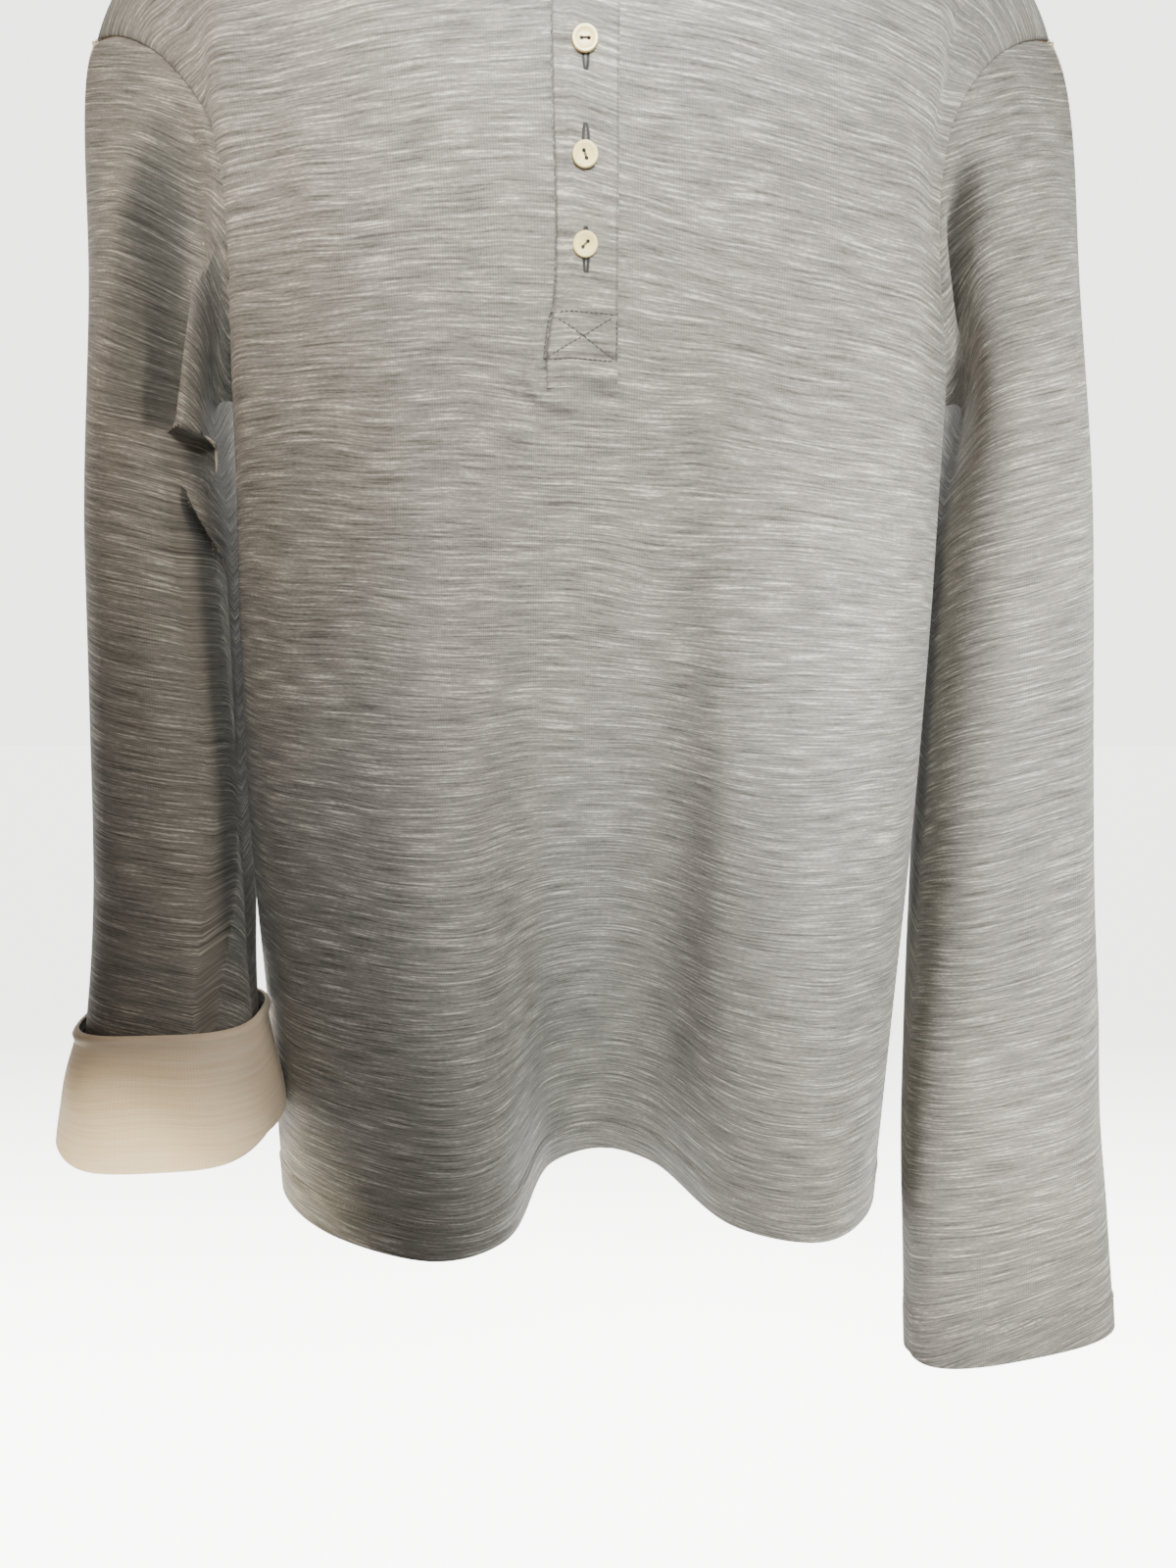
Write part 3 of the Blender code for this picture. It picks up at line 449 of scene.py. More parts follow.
def knit_material(name, tones, flecks, roughness, sheen):
    """A fine jersey knit: slubs and flecks along its courses, over ribs of 1.3 mm.

    The real ribs are about 0.8 mm apart; they are drawn coarser so that they still show.
    """
    material, tree, shader = new_material(name, roughness, ior=1.5)
    place = add_node(tree, "ShaderNodeUVMap", uv_map="cloth").outputs[0]
    drift = add_node(tree, "ShaderNodeTexNoise", {"Vector": place, "Scale": 11.0, "Detail": 1.0})
    drift = add_node(tree, "ShaderNodeMath", {0: drift.outputs["Fac"], 1: 0.010}, operation="MULTIPLY")
    drift = add_node(tree, "ShaderNodeCombineXYZ", {"Y": drift.outputs[0]})
    place = add_node(tree, "ShaderNodeVectorMath", {0: place, 1: drift.outputs[0]},
                     operation="ADD").outputs[0]
    slubs, bands, fibres, cloudy = (cloth_noise(tree, place, *sizes) for sizes in KNIT_FLECKS)
    tint(tree, shader, weighed(tree, zip((slubs, bands, fibres, cloudy), flecks)), tones)
    parts = add_node(tree, "ShaderNodeSeparateXYZ", {"Vector": place})
    waves = []
    for axis, pitch in KNIT_PITCH:
        turn = add_node(tree, "ShaderNodeMath", {0: parts.outputs[axis], 1: 2 * math.pi / pitch},
                        operation="MULTIPLY")
        waves.append(add_node(tree, "ShaderNodeMath", {0: turn.outputs[0]}, operation="SINE").outputs[0])
    height = weighed(tree, [(waves[0], 0.10), (waves[1], 0.08), (slubs, 0.9), (fibres, 0.5)])
    bump = add_node(tree, "ShaderNodeBump", {"Height": height, "Strength": 0.55, "Distance": 0.0006})
    tree.links.new(bump.outputs["Normal"], shader.inputs["Normal"])
    shader.inputs["Specular IOR Level"].default_value = 0.25
    shader.inputs["Sheen Weight"].default_value = sheen
    shader.inputs["Sheen Roughness"].default_value = 0.45
    return material


# Combed cotton and wool yarn, spun from dark and light fibre: matt, with a soft bloom of
# loose fibre towards its edges. The flecks give the eye its fine level streaks.
MELANGE = knit_material(
    "melange_double_knit",
    [(0.20, "#5a5954"), (0.42, "#7a7974"), (0.52, "#84837d"), (0.64, "#97958d"), (0.80, "#c9c6bb")],
    flecks=(1.00, 0.40, 0.40, 0.10), roughness=0.88, sheen=0.15)
# The same cloth's other face, in undyed yarn: smooth, warm and nearly even in tone.
CREAM = knit_material(
    "cream_double_knit",
    [(0.15, "#dcc9aa"), (0.45, "#eedbbe"), (0.60, "#f3e4cb"), (0.85, "#fbf2df")],
    flecks=(0.35, 0.45, 0.15, 0.25), roughness=0.80, sheen=0.25)

SHARP_EDGE = math.radians(58)  # the cloth shades smoothly over flatter edges than this


def add_object(name, data):
    """An object in the scene for a mesh, a lamp or a camera."""
    made = bpy.data.objects.new(name, data)
    bpy.context.scene.collection.objects.link(made)
    return made


RIM = 0.0006  # how far a hem's or a lip's edge bulges


def cloth_mesh(name, outer, inner, uv, materials, closed=False, skip=None, rims=(0.0, 0.0)):
    """A thin shell between two grids of points, with rounded edges along its first and last rows.

    rims says how far each of these two edges bulges out; skip is a mask of the cells left open.
    """
    rows, columns = outer.shape[:2]
    cells = np.ones((rows - 1, columns if closed else columns - 1), bool)
    if skip is not None:
        cells &= ~skip
    i, j = np.nonzero(cells)
    k = (j + 1) % columns
    front = np.stack([i * columns + j, i * columns + k, (i + 1) * columns + k, (i + 1) * columns + j], 1)
    uv_j = np.column_stack([j, j + 1, j + 1, j])
    uv_i = np.column_stack([i, i, i + 1, i + 1])
    count = rows * columns
    points = [outer.reshape(-1, 3), inner.reshape(-1, 3)]
    faces = [front, front[:, ::-1] + count]
    places = [uv[uv_i, uv_j], uv[uv_i, uv_j][:, ::-1]]
    kinds = [np.zeros(len(front), int), np.ones(len(front), int)]
    directed = {}
    for face, spot in zip(front, places[0]):
        for a, b, ua, ub in zip(face, np.roll(face, -1), spot, np.roll(spot, -1, axis=0)):
            if (b, a) in directed:
                del directed[(b, a)]
            else:
                directed[(a, b)] = (ua, ub)
    middle = {}
    extra = []
    for end, bulge in zip((0, rows - 1), rims):
        if bulge:
            step = unit(outer[end] - outer[1 if end == 0 else rows - 2])
            for c in range(columns):
                middle[end * columns + c] = 2 * count + len(extra)
                extra.append((outer[end, c] + inner[end, c]) / 2 + step[c] * bulge)
    rim_faces, rim_uv = [], []
    for (a, b), (ua, ub) in directed.items():
        if a in middle and b in middle:
            rim_faces += [(b, a, middle[a], middle[b]), (middle[b], middle[a], a + count, b + count)]
            rim_uv += [(ub, ua, ua, ub)] * 2
        else:
            rim_faces.append((b, a, a + count, b + count))
            rim_uv.append((ub, ua, ua, ub))
    faces.append(np.array(rim_faces))
    places.append(np.array(rim_uv))
    kinds.append(np.zeros(len(rim_faces), int))
    if extra:
        points.append(np.array(extra))
    faces, places, kinds = np.vstack(faces), np.vstack(places), np.concatenate(kinds)
    points = np.vstack(points)
    used = np.unique(faces)
    renumber = np.full(len(points), -1)
    renumber[used] = np.arange(len(used))
    mesh = bpy.data.meshes.new(name)
    mesh.from_pydata(points[used].tolist(), [], renumber[faces].tolist())
    mesh.polygons.foreach_set("material_index", kinds.astype(np.int32))
    layer = mesh.uv_layers.new(name="cloth")
    layer.uv.foreach_set("vector", places.reshape(-1).astype(np.float32))
    for material in materials:
        mesh.materials.append(material)
    mesh.update()
    mesh.shade_smooth()
    mesh.set_sharp_from_angle(angle=SHARP_EDGE)
    return add_object(name, mesh)


def declare(piece, nodes):
    """Says what a piece rides on and which nodes it replaces."""
    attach(piece, "root")
    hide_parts(*nodes)


SEAM_DEPTH = 0.0007
SEAM_REACH = 0.0011


def seam_sink(distance):
    """How far cloth rolls in towards a seam that is this far away."""
    return SEAM_DEPTH * bell(distance, SEAM_REACH)


HEM_RISE = 0.0005
HEM_GROOVE = (0.0006, 0.0012)  # depth and half width


def hem_relief(height, hem_height=HEM_HEIGHT):
    """The turned-up hem is thicker, and its stitches pull a groove along its top."""
    thick = HEM_RISE * (1 - smooth_steps(height, hem_height - 0.002, hem_height + 0.002))
    return thick - HEM_GROOVE[0] * bell(height - hem_height, HEM_GROOVE[1])


COURSE_TILT = 0.05  # how much the courses fall from the left side to the right

shoulder_left, shoulder_right = smooth_table(BODY_SECTIONS, SHOULDER_LEVEL)[0, :2]
FRONT_COLUMNS = panel_columns(
    [shoulder_left, -NECK_HALF_WIDTH, PLACKET_LEFT, PLACKET_RIGHT, NECK_HALF_WIDTH, shoulder_right],
    [34, 14, 18, 14, 34],
    more=PLACKET_LEFT - np.array([0.0008, 0.0020, 0.0032, 0.0050, 0.0066, 0.0084, 0.0104, 0.0126]),
)
# Soft folds of the front in millimetres: start, middle and end as x and height, half a
# width, and how high each stands (below 0 it is a trough).
FRONT_CREASES = np.array([
    # x     z      x     z      x     z     half height
    (-172,  -70, -168, -150, -172, -285,  10,   9.0),
    (-146,  -90, -144, -170, -150, -270,  10,  -2.0),
    (-216,  -80, -202,  -96, -190, -112,   4,   2.0),
    (-208,  -70, -194,  -82, -184,  -92,   4,  -2.0),
    (-120, -110, -128, -190, -120, -300,  16,   1.6),
    ( 177,  -70,  177, -110,  170, -165,   8,  -9.0),
    ( 190,  -80,  178, -100,  164, -112,   5,   2.0),
    ( 128,  -95,  150, -150,  158, -225,   8,   2.4),
    (  68, -110,   60, -200,   52, -390,   8,  -1.6),
    (  54, -330,   56, -520,   46, -700,   9,  -1.4),
    ( -76, -200,  -72, -400,  -68, -700,  24,   3.4),
    (-126, -260, -128, -440, -122, -700,  24,  -2.6),
    (-164, -420, -160, -560, -162, -690,  10,   1.6),
    (  92, -330,  100, -500,   96, -690,  18,   1.2),
    ( 148, -380,  150, -520,  140, -690,  13,  -1.8),
    ( -30, -300,  -24, -480,  -20, -690,  12,  -1.4),
    ( -25, -240,  -28, -247,  -20, -255,   3,   3.2),
    ( -20, -255,  -12, -257,   -4, -256,   3,   2.6),
    ( -31, -240,  -34, -249,  -25, -262,   4,  -2.4),
    ( -24, -262,  -14, -263,   -4, -262,   4,  -2.2),
])
# How far the placket's free edge strays from its line, from below its foot to the neck, and
# how far on both sides the cloth goes with it.
EDGE_STRAY = np.array([
    # z      to the right
    (-0.320, 0.0000),
    (-0.256, -0.0034),
    (-0.234, -0.0033),
    (-0.210, 0.0004),
    (-0.180, 0.0020),
    (-0.160, 0.0017),
    (-0.120, 0.0007),
    (-0.087, 0.0005),
])
STRAY_REACH = 0.009
STRAY_END = -0.36


def stray(points):
    """Points near the placket's free edge moved sideways with it."""
    shift = smooth_table(EDGE_STRAY, points[..., 2].ravel())[:, 0].reshape(points.shape[:-1])
    near = bell(points[..., 0] - PLACKET_LEFT, STRAY_REACH)
    moved = points.copy()
    moved[..., 0] += shift * near * (points[..., 2] > STRAY_END) * (points[..., 1] < 0)
    return moved


def laid_out(across, up):
    """Places on the flat cloth from lengths across it and up it."""
    return np.stack(np.broadcast_arrays(across, up), axis=-1)


def make_panel(name, half, columns, creases, skip=None):
    """Front or back as a piece, with the points of its smooth outer and inner faces."""
    levels, arcs = panel_grid(half, columns)
    points = stray(body_points(half, levels, arcs))
    normals = panel_normals(half, points)
    height = levels - HEM_LEVEL
    move = crease_depth(creases, points[..., 0], points[..., 2])
    edges = np.minimum(arcs - arcs[:, :1], arcs[:, -1:] - arcs)
    move *= smooth_steps(SHOULDER_LEVEL - levels, 0.0, 0.03) * smooth_steps(edges, 0.0, 0.010)
    move += hem_relief(height)
    sunk = seam_sink(edges) + seam_sink(levels[-1:] - levels)
    move -= sunk
    outer = points + normals * move[..., None]
    inner = outer - normals * (CLOTH - sunk * 0.6)[..., None]
    middle = LENGTHS[half][level_rows(levels)[0]] / 2
    uv = laid_out(arcs - middle, levels + COURSE_TILT * points[..., 0])
    if half:
        uv[..., 0] += 1.0
        outer, inner, uv = outer[:, ::-1], inner[:, ::-1], uv[:, ::-1]
    piece = cloth_mesh(name, outer, inner, uv, [MELANGE, CREAM], skip=skip, rims=(RIM, 0.0))
    return piece, points, points - normals * CLOTH


in_slit = (FRONT_COLUMNS[:-1] > PLACKET_LEFT - SAME) & (FRONT_COLUMNS[1:] < PLACKET_RIGHT + SAME)
slit = np.zeros((len(BODY_ROWS) + UPPER_ROWS - 1, len(FRONT_COLUMNS) - 1), bool)
slit[len(BODY_ROWS) - 1:, in_slit] = True
front_panel, front_outer, front_inner = make_panel("front_panel_knit", 0, FRONT_COLUMNS,
                                                   FRONT_CREASES, skip=slit)
declare(front_panel, ["front_panel"])


# --- Back panel ----------------------------------------------------------------------
# The same knit, cut in one piece with a higher neckline. A shallow fold runs down its
# middle, and its hem is turned up and stitched like the front's.

BACK_COLUMNS = panel_columns(
    [FRONT_COLUMNS[0], -NECK_HALF_WIDTH, NECK_HALF_WIDTH, FRONT_COLUMNS[-1]], [30, 26, 30])
BACK_CREASES = np.array([
    # x     z      x     z      x     z     half height
    (-168, -140, -160, -200, -158, -270,   9,  -2.2),
    ( 168, -140,  160, -200,  158, -270,   9,  -2.2),
    (-110, -120,  -96, -260,  -90, -420,  18,   1.8),
    (  96, -110,  104, -250,  112, -400,  18,   1.6),
    ( -60, -380,  -66, -520,  -58, -690,  15,  -2.0),
    (  64, -340,   56, -500,   62, -690,  15,  -2.2),
    (-140, -420, -136, -560, -142, -690,  14,   2.0),
    ( 138, -430,  142, -560,  134, -690,  14,   1.8),
])
back_panel, back_outer, back_inner = make_panel("back_panel_knit", 1, BACK_COLUMNS, BACK_CREASES)
declare(back_panel, ["back_panel"])


# --- Plain sleeve --------------------------------------------------------------------
# One piece of knit sewn into the armhole and joined under the arm. It hangs straight,
# with its end turned in and stitched, and swings forwards below the elbow.

PLAIN_SLEEVE = np.array([
    # z       x       y      width   depth  turn
    (-0.325, 0.2277, 0.004, 0.0370, 0.062, 0),
    (-0.420, 0.2277, -0.010, 0.0400, 0.060, 0),
    (-0.500, 0.2270, -0.026, 0.0430, 0.058, 0),
    (-0.565, 0.2275, -0.038, 0.0470, 0.057, -2),
    (-0.630, 0.2250, -0.060, 0.0500, 0.046, -2),
    (-0.690, 0.2255, -0.082, 0.0545, 0.031, 8),
    (-0.741, 0.2285, -0.093, 0.0608, 0.021, 15),
])
SLEEVE_SQUARENESS = (0.68, 0.72)
CAP_FULLNESS = (0.008, 0.038)
CAP_OUTWARD = (0.042, 0.052)  # how strongly each cap swells sideways
UNDERARM_FULLNESS = 0.022
FULLNESS_BY_REACH = 0.20
ARRIVAL = 0.9
LEAST_ONWARD = 0.75
UNDERARM_ROLL = 0.060
CAP_RANGE = (0.0, 0.40)
ROLL_RANGE = (0.10, 0.433)
CAP_EASING = (0.5, 3)
CAP_SHARES = np.concatenate([[0, 0.006, 0.014, 0.026, 0.042], np.linspace(0.055, 1, 84)[:-1]])
LOWER_ROWS = 130
EASE_TURN = 0.16  # radians round the armhole that its bends are eased over
EASE_POINTS = 20  # few round the armhole, so that the seam's small bends don't show


COURSE_FALL, COURSE_SAG = 0.13, 0.8  # how the courses fall from the outermost line, per m
TUCK_HEIGHTS = (-0.635, -0.08, 0.01)
TUCK_SLICE = 0.008
TUCK_CLEARANCE = 0.004
TUCK_SOFTNESS = 0.002


def armhole_loop(side, panels):
    """The armhole's edge from the shoulder down the front and up the back, both faces."""
    column = (0, -1)[side]
    (front_out, front_in), (back_out, back_in) = panels
    rows = slice(-UPPER_ROWS - 1, None)
    loops = []
    for front, back in ((front_out, back_out), (front_in, back_in)):
        down, up = front[rows, column][::-1], back[rows, column]
        shoulder, underarm = (down[0] + up[-1]) / 2, (down[-1] + up[0]) / 2
        loops.append(np.vstack([[shoulder], down[1:-1], [underarm], up[1:-1]]))
    shares = np.concatenate([1 - UPPER_SHARES[::-1], 1 + UPPER_SHARES[1:-1]])
    return loops[0], loops[1], shares * math.pi


def around_at(angles, values, wanted):
    """Values given round a ring, at other angles, eased over their neighbours."""
    turns = np.concatenate([angles - 2 * math.pi, angles, angles + 2 * math.pi])
    thrice = np.vstack([values] * 3)
    eased = 0.0
    for shift, weight in ((-EASE_TURN, 0.25), (0.0, 0.5), (EASE_TURN, 0.25)):
        eased = eased + weight * at_lengths(thrice, turns, wanted + shift)
    return eased


def sleeve_ring(table, z, side, angles, grow=0.0):
    """A level section of a sleeve, from its outermost point round the front."""
    x, y, half_width, half_depth, turn = smooth_table(table, z)[0]
    bend = SLEEVE_SQUARENESS[side]
    across = np.sign(np.cos(angles)) * abs(np.cos(angles)) ** bend * (half_width + grow)
    along = -np.sign(np.sin(angles)) * abs(np.sin(angles)) ** bend * (half_depth + grow)
    across = across * (1 if side else -1)
    c, s = math.cos(math.radians(turn)), math.sin(math.radians(turn))
    return np.column_stack([x + across * c - along * s, y + across * s + along * c, 0 * angles + z])


def fading_up(height, fade):
    """1 below the fade's start and 0 above its end."""
    return np.clip((fade[1] - height) / (fade[1] - fade[0]), 0.0, 1.0)


def rolled(start, target, leave, arrive, shares):
    """Rows of points on smooth paths that leave one row and arrive at another."""
    return [path_point(start, target, leave, arrive, share) for share in shares]


def sleeve_rings(side, table, heights, panels):
    """Rings of points from the armhole down to the end, and the angle of each column."""
    edge_out, edge_in, edge_angles = armhole_loop(side, panels)
    angles = np.arange(EASE_POINTS) / EASE_POINTS * 2 * math.pi
    start_out, start_in = (around_at(edge_angles, edge, angles) for edge in (edge_out, edge_in))
    tangents = np.roll(start_out, -1, axis=0) - np.roll(start_out, 1, axis=0)
    slopes = unit(np.cross(tangents, start_out - start_in) * (1, -1)[side])
    target = sleeve_ring(table, table[0, 0], side, angles)
    above = (start_out[:, 2:] - UNDERARM_LEVEL) / (SHOULDER_LEVEL - UNDERARM_LEVEL)
    cap = 1 - fading_up(above, CAP_RANGE)
    reach = np.linalg.norm(target - start_out, axis=1)[:, None]
    eased, late = CAP_EASING
    bulge = (start_out - start_in) / CLOTH * (1 - eased * above**late) + (target - start_out) / reach
    leave = slopes * (1 - cap) + bulge / 2 * cap
    onward = (leave * slopes).sum(axis=1)[:, None]
    leave = unit(leave + slopes * np.clip(LEAST_ONWARD - onward, 0, None))
    fullness = UNDERARM_FULLNESS * (1 - cap) + CAP_FULLNESS[side] * cap
    leave *= fullness + reach * FULLNESS_BY_REACH
    sideways = UNDERARM_ROLL * fading_up(above, ROLL_RANGE) + CAP_OUTWARD[side] * cap * above
    leave += np.array([(-1, 1)[side], 0, 0]) * sideways
    step = 0.01
    leave, slopes, reach = (around_at(angles, values, edge_angles) for values in (leave, slopes, reach))
    target = sleeve_ring(table, table[0, 0], side, edge_angles)
    arrive = (sleeve_ring(table, table[0, 0] - step, side, edge_angles) - target) / step * reach
    rings = rolled(edge_out + slopes * SEAM_GAP, target, leave, arrive * ARRIVAL, CAP_SHARES)
    rings += [sleeve_ring(table, z, side, edge_angles) for z in heights]
    return np.array(rings), edge_in + slopes * SEAM_GAP


def make_sleeve(name, side, rings, first_inner, creases, back_creases, hem_height, tucked):
    """A sleeve from its rings, with soft creases, a seam under the arm and a hem.

    tucked is a function that says how far back the sleeve is tucked beside the body.
    """
    normals = grid_normals(rings, closed=True) * (-1, 1)[side]
    along = np.cumsum(np.linalg.norm(np.diff(rings, axis=0, prepend=rings[:1]), axis=2), axis=0)
    around = np.cumsum(np.linalg.norm(np.diff(rings, axis=1, prepend=rings[:, :1]), axis=2), axis=1)
    girth = around[:, -1:] + np.linalg.norm(rings[:, :1] - rings[:, -1:], axis=2)
    half_way = girth / 2
    fold = half_way - abs(around - half_way)  # distance from the outermost line, either way
    facing = smooth_steps(-normals[..., 1], -0.25, 0.35)
    move = crease_depth(creases, rings[..., 0], rings[..., 2]) * facing
    move += crease_depth(back_creases, rings[..., 0], rings[..., 2]) * (1 - facing)
    move *= smooth_steps(along, 0.0, 0.014)
    move -= seam_sink(along)
    move -= 0.0006 * bell(half_way - fold, 0.002)  # the seam under the arm
    if hem_height:
        move += hem_relief(along[-1:] - along, hem_height)
    outer = rings + normals * move[..., None]
    # The front is pushed back to the tuck's own depth below its foremost line, and no further
    # than just before the middle of the sleeve.
    heights = np.arange(*TUCK_HEIGHTS)
    fronts = [rings[..., 1][abs(rings[..., 2] - z) < TUCK_SLICE].min() for z in heights]
    push = tucked(rings[..., 0], rings[..., 2]) * smooth_steps(along, 0, 0.012)
    centre = rings[..., 1].mean(axis=1, keepdims=True)
    target = np.minimum(np.interp(rings[..., 2], heights, fronts) + push, centre - TUCK_CLEARANCE)
    short = np.where(rings[..., 1] < centre, target - outer[..., 1], -1.0)
    short = (short + np.sqrt(short**2 + TUCK_SOFTNESS**2)) / 2 * smooth_steps(push, 0, 0.003)
    outer[..., 1] += np.minimum(short, push)
    normals = grid_normals(outer, closed=True) * (-1, 1)[side]
    # Front and back meet at the shoulder's tip, so the cloth is thinned there to stay apart,
    # and in the tuck, where it folds back on itself.
    room = 0.4 * abs(outer[..., 1] - outer[:, :1, 1]) + 0.0002
    wall = np.minimum(CLOTH, room / np.maximum(abs(normals[..., 1]), 0.05))[..., None]
    wall = wall * (1 - 0.75 * smooth_steps(push, 0, 0.01)[..., None])
    inner = outer - normals * wall
    inner[0] = outer[0] + (first_inner - outer[0]) * wall[0] / CLOTH
    uv = laid_out(around, rings[..., 2] + COURSE_FALL * fold + COURSE_SAG * fold**2)
    wrap = uv[:, :1].copy()
    wrap[..., 0] = girth
    uv = np.concatenate([uv, wrap], axis=1)
    uv[..., 0] += 2.0 + side
    if side:
        outer, inner, uv = outer[::-1], inner[::-1], uv[::-1]
    rims = (RIM, 0.0) if side else (0.0, RIM)
    return cloth_mesh(name, outer, inner, uv, [MELANGE, CREAM], closed=True, rims=rims), outer


PANELS = ((front_outer, front_inner), (back_outer, back_inner))
PLAIN_HEM = 0.023
plain_end = PLAIN_SLEEVE[-1, 0]
plain_heights = np.concatenate([
    np.linspace(PLAIN_SLEEVE[0, 0], plain_end + PLAIN_HEM + 0.0028, LOWER_ROWS),
    plain_end + PLAIN_HEM + np.array([0.0011, 0.0004, -0.0004, -0.0011]),
    np.linspace(plain_end + PLAIN_HEM - 0.0028, plain_end + 0.0016, 6),
    [plain_end + 0.0006, plain_end],
])
# Creases of the sleeve's front and of its back, in millimetres like the body's.
PLAIN_CREASES = np.array([
    # x     z      x     z      x     z     half height
    ( 170, -145,  169, -210,  169, -290,   6, -11.0),
    ( 214,  -95,  200, -150,  198, -230,   9,   2.4),
    ( 170, -290,  173, -400,  172, -560,   6,  -9.0),
    ( 216, -230,  212, -330,  210, -430,  11,   2.0),
    ( 196, -470,  214, -500,  240, -505,   9,   1.6),
    ( 192, -560,  214, -590,  244, -600,   9,  -1.8),
    ( 198, -610,  222, -640,  252, -648,  10,   1.6),
    ( 250, -330,  252, -430,  250, -560,  12,   1.5),
])
PLAIN_BACK_CREASES = np.array([
    # x     z      x     z      x     z     half height
    ( 205, -200,  214, -290,  212, -400,  12,   2.2),
    ( 200, -500,  220, -545,  250, -560,  10,   2.4),
    ( 200, -560,  222, -600,  252, -612,  10,  -2.4),
])
# The long crease between this sleeve and the body: where it runs, how deep it is, and how
# wide towards the body and away from it.
PLAIN_TUCK_LINE = np.array([
    # z       x
    (-0.560, 0.1835),
    (-0.400, 0.1860),
    (-0.310, 0.1860),
    (-0.285, 0.1890),
    (-0.220, 0.1890),
    (-0.180, 0.1825),
])
PLAIN_TUCK_DEPTH = 0.032
PLAIN_TUCK_WIDTHS = (0.030, 0.0050)


def tucked_in(x, z):
    """How far back the plain sleeve's front is tucked in a crease along the body."""
    middle = np.interp(z, *PLAIN_TUCK_LINE.T)
    crease = PLAIN_TUCK_DEPTH * bell(x - middle, np.where(x < middle, *PLAIN_TUCK_WIDTHS))
    return crease * smooth_steps(-z, 0.135, 0.175) * (1 - smooth_steps(-z, 0.400, 0.570))


plain_rings, plain_inner = sleeve_rings(1, PLAIN_SLEEVE, plain_heights, PANELS)
sleeve_plain, plain_outer = make_sleeve(
    "sleeve_plain_knit", 1, plain_rings, plain_inner, PLAIN_CREASES, PLAIN_BACK_CREASES,
    PLAIN_HEM, tucked_in)
declare(sleeve_plain, ["sleeve_plain"])


# --- Sleeve with the turned-back end --------------------------------------------------
# The other sleeve, cut alike. It hangs closer to the body, and its end is turned up.

TURNED_SLEEVE = np.array([
    # z       x       y      width   depth  turn
    (-0.325, -0.2277, 0.002, 0.0335, 0.0638, 0),
    (-0.420, -0.2290, -0.006, 0.0353, 0.0618, 0),
    (-0.500, -0.2292, -0.018, 0.0368, 0.0578, 0),
    (-0.570, -0.2242, -0.056, 0.0430, 0.0320, 0),
    (-0.641, -0.2255, -0.066, 0.0520, 0.0288, 0),
])
TURNED_CREASES = np.array([
    # x     z      x     z      x     z     half height
    (-228, -110, -226, -190, -224, -270,  10,   2.0),
    (-222, -330, -216, -400, -214, -470,  12,   1.6),
    (-250, -480, -228, -500, -206, -505,   9,   1.8),
    (-250, -540, -228, -548, -204, -540,   8,  -1.8),
])
TURNED_BACK_CREASES = np.array([
    # x     z      x     z      x     z     half height
    (-205, -200, -214, -290, -212, -400,  12,   2.2),
    (-200, -460, -222, -500, -250, -512,  10,   2.2),
])
# Above the elbow a trough runs down beside the body, and a flap of cloth lies over it. Below
# it the sleeve's inner side is tucked back as a whole, with one slanting fold left standing.
TROUGH_LINE = np.array([
    # z       x
    (-0.260, -0.207),
    (-0.200, -0.203),
    (-0.120, -0.199),
])
TROUGH_DEPTH = 0.046
TROUGH_WIDTHS = (0.022, 0.014)
FLAP_EDGE = np.array([
    # z       x
    (-0.267, -0.211),
    (-0.184, -0.196),
])
INNER_SIDE_EDGE = np.array([
    # z      x
    (-0.580, -0.204),
    (-0.450, -0.200),
    (-0.350, -0.206),
    (-0.284, -0.211),
    (-0.267, -0.213),
])
INNER_SIDE_DEPTH = 0.052
SLANT_FOLD = (0.213, 0.274, 0.033, 0.071)  # its start, left of and below the origin, and its run
SLANT_WIDTH = 0.0062


def tucked_back(x, z):
    """How far back the inner front of the sleeve is tucked beside the body, in its folds."""
    middle = np.interp(z, *TROUGH_LINE.T)
    lower_end = 1 - smooth_steps(-z, 0.264, 0.270)
    trough = TROUGH_DEPTH * bell(x - middle, np.where(x < middle, *TROUGH_WIDTHS))
    trough = trough * smooth_steps(-z, 0.095, 0.185)
    flap = smooth_steps(x - np.interp(z, *FLAP_EDGE.T), -0.002, 0.005)
    flap *= smooth_steps(-z, 0.180, 0.200)
    edge = np.interp(z, *INNER_SIDE_EDGE.T)
    inner_side = INNER_SIDE_DEPTH * smooth_steps(x - edge, 0.0, 0.007) * smooth_steps(-z, 0.266, 0.272)
    left, below, across, down = SLANT_FOLD
    share = np.clip((-below - z) / down, 0, 1)
    off_fold = np.hypot(x + left - across * share, z + below + down * share)
    inner_side *= 1 - 0.7 * bell(off_fold, SLANT_WIDTH)
    return trough * lower_end * (1 - 0.75 * flap) + inner_side


turned_heights = np.linspace(TURNED_SLEEVE[0, 0], TURNED_SLEEVE[-1, 0], LOWER_ROWS)
turned_rings, turned_inner = sleeve_rings(0, TURNED_SLEEVE, turned_heights, PANELS)
TURN_BACK_HEIGHT = 0.071
TURN_BACK_HALF_WIDTH = 0.056
CORNER_RISE = 0.011
END_SLANT = 0.003
cuff_bottom, cuff_x, cuff_y = TURNED_SLEEVE[-1, :3]


def on_turn_back(x, z):
    """Place over the turned-back end: share of its height, and -1 to 1 across it."""
    return np.clip((z - cuff_bottom) / TURN_BACK_HEIGHT, 0, 1), (x - cuff_x) / TURN_BACK_HALF_WIDTH


def corner_lift(x, z):
    """How far the sleeve's folded end rises at its rounded corners."""
    share, reach = on_turn_back(x, z)
    corner = np.clip(abs(reach), 0, 1) ** 5 * CORNER_RISE
    return (corner + END_SLANT * reach) * (1 - share) ** 2


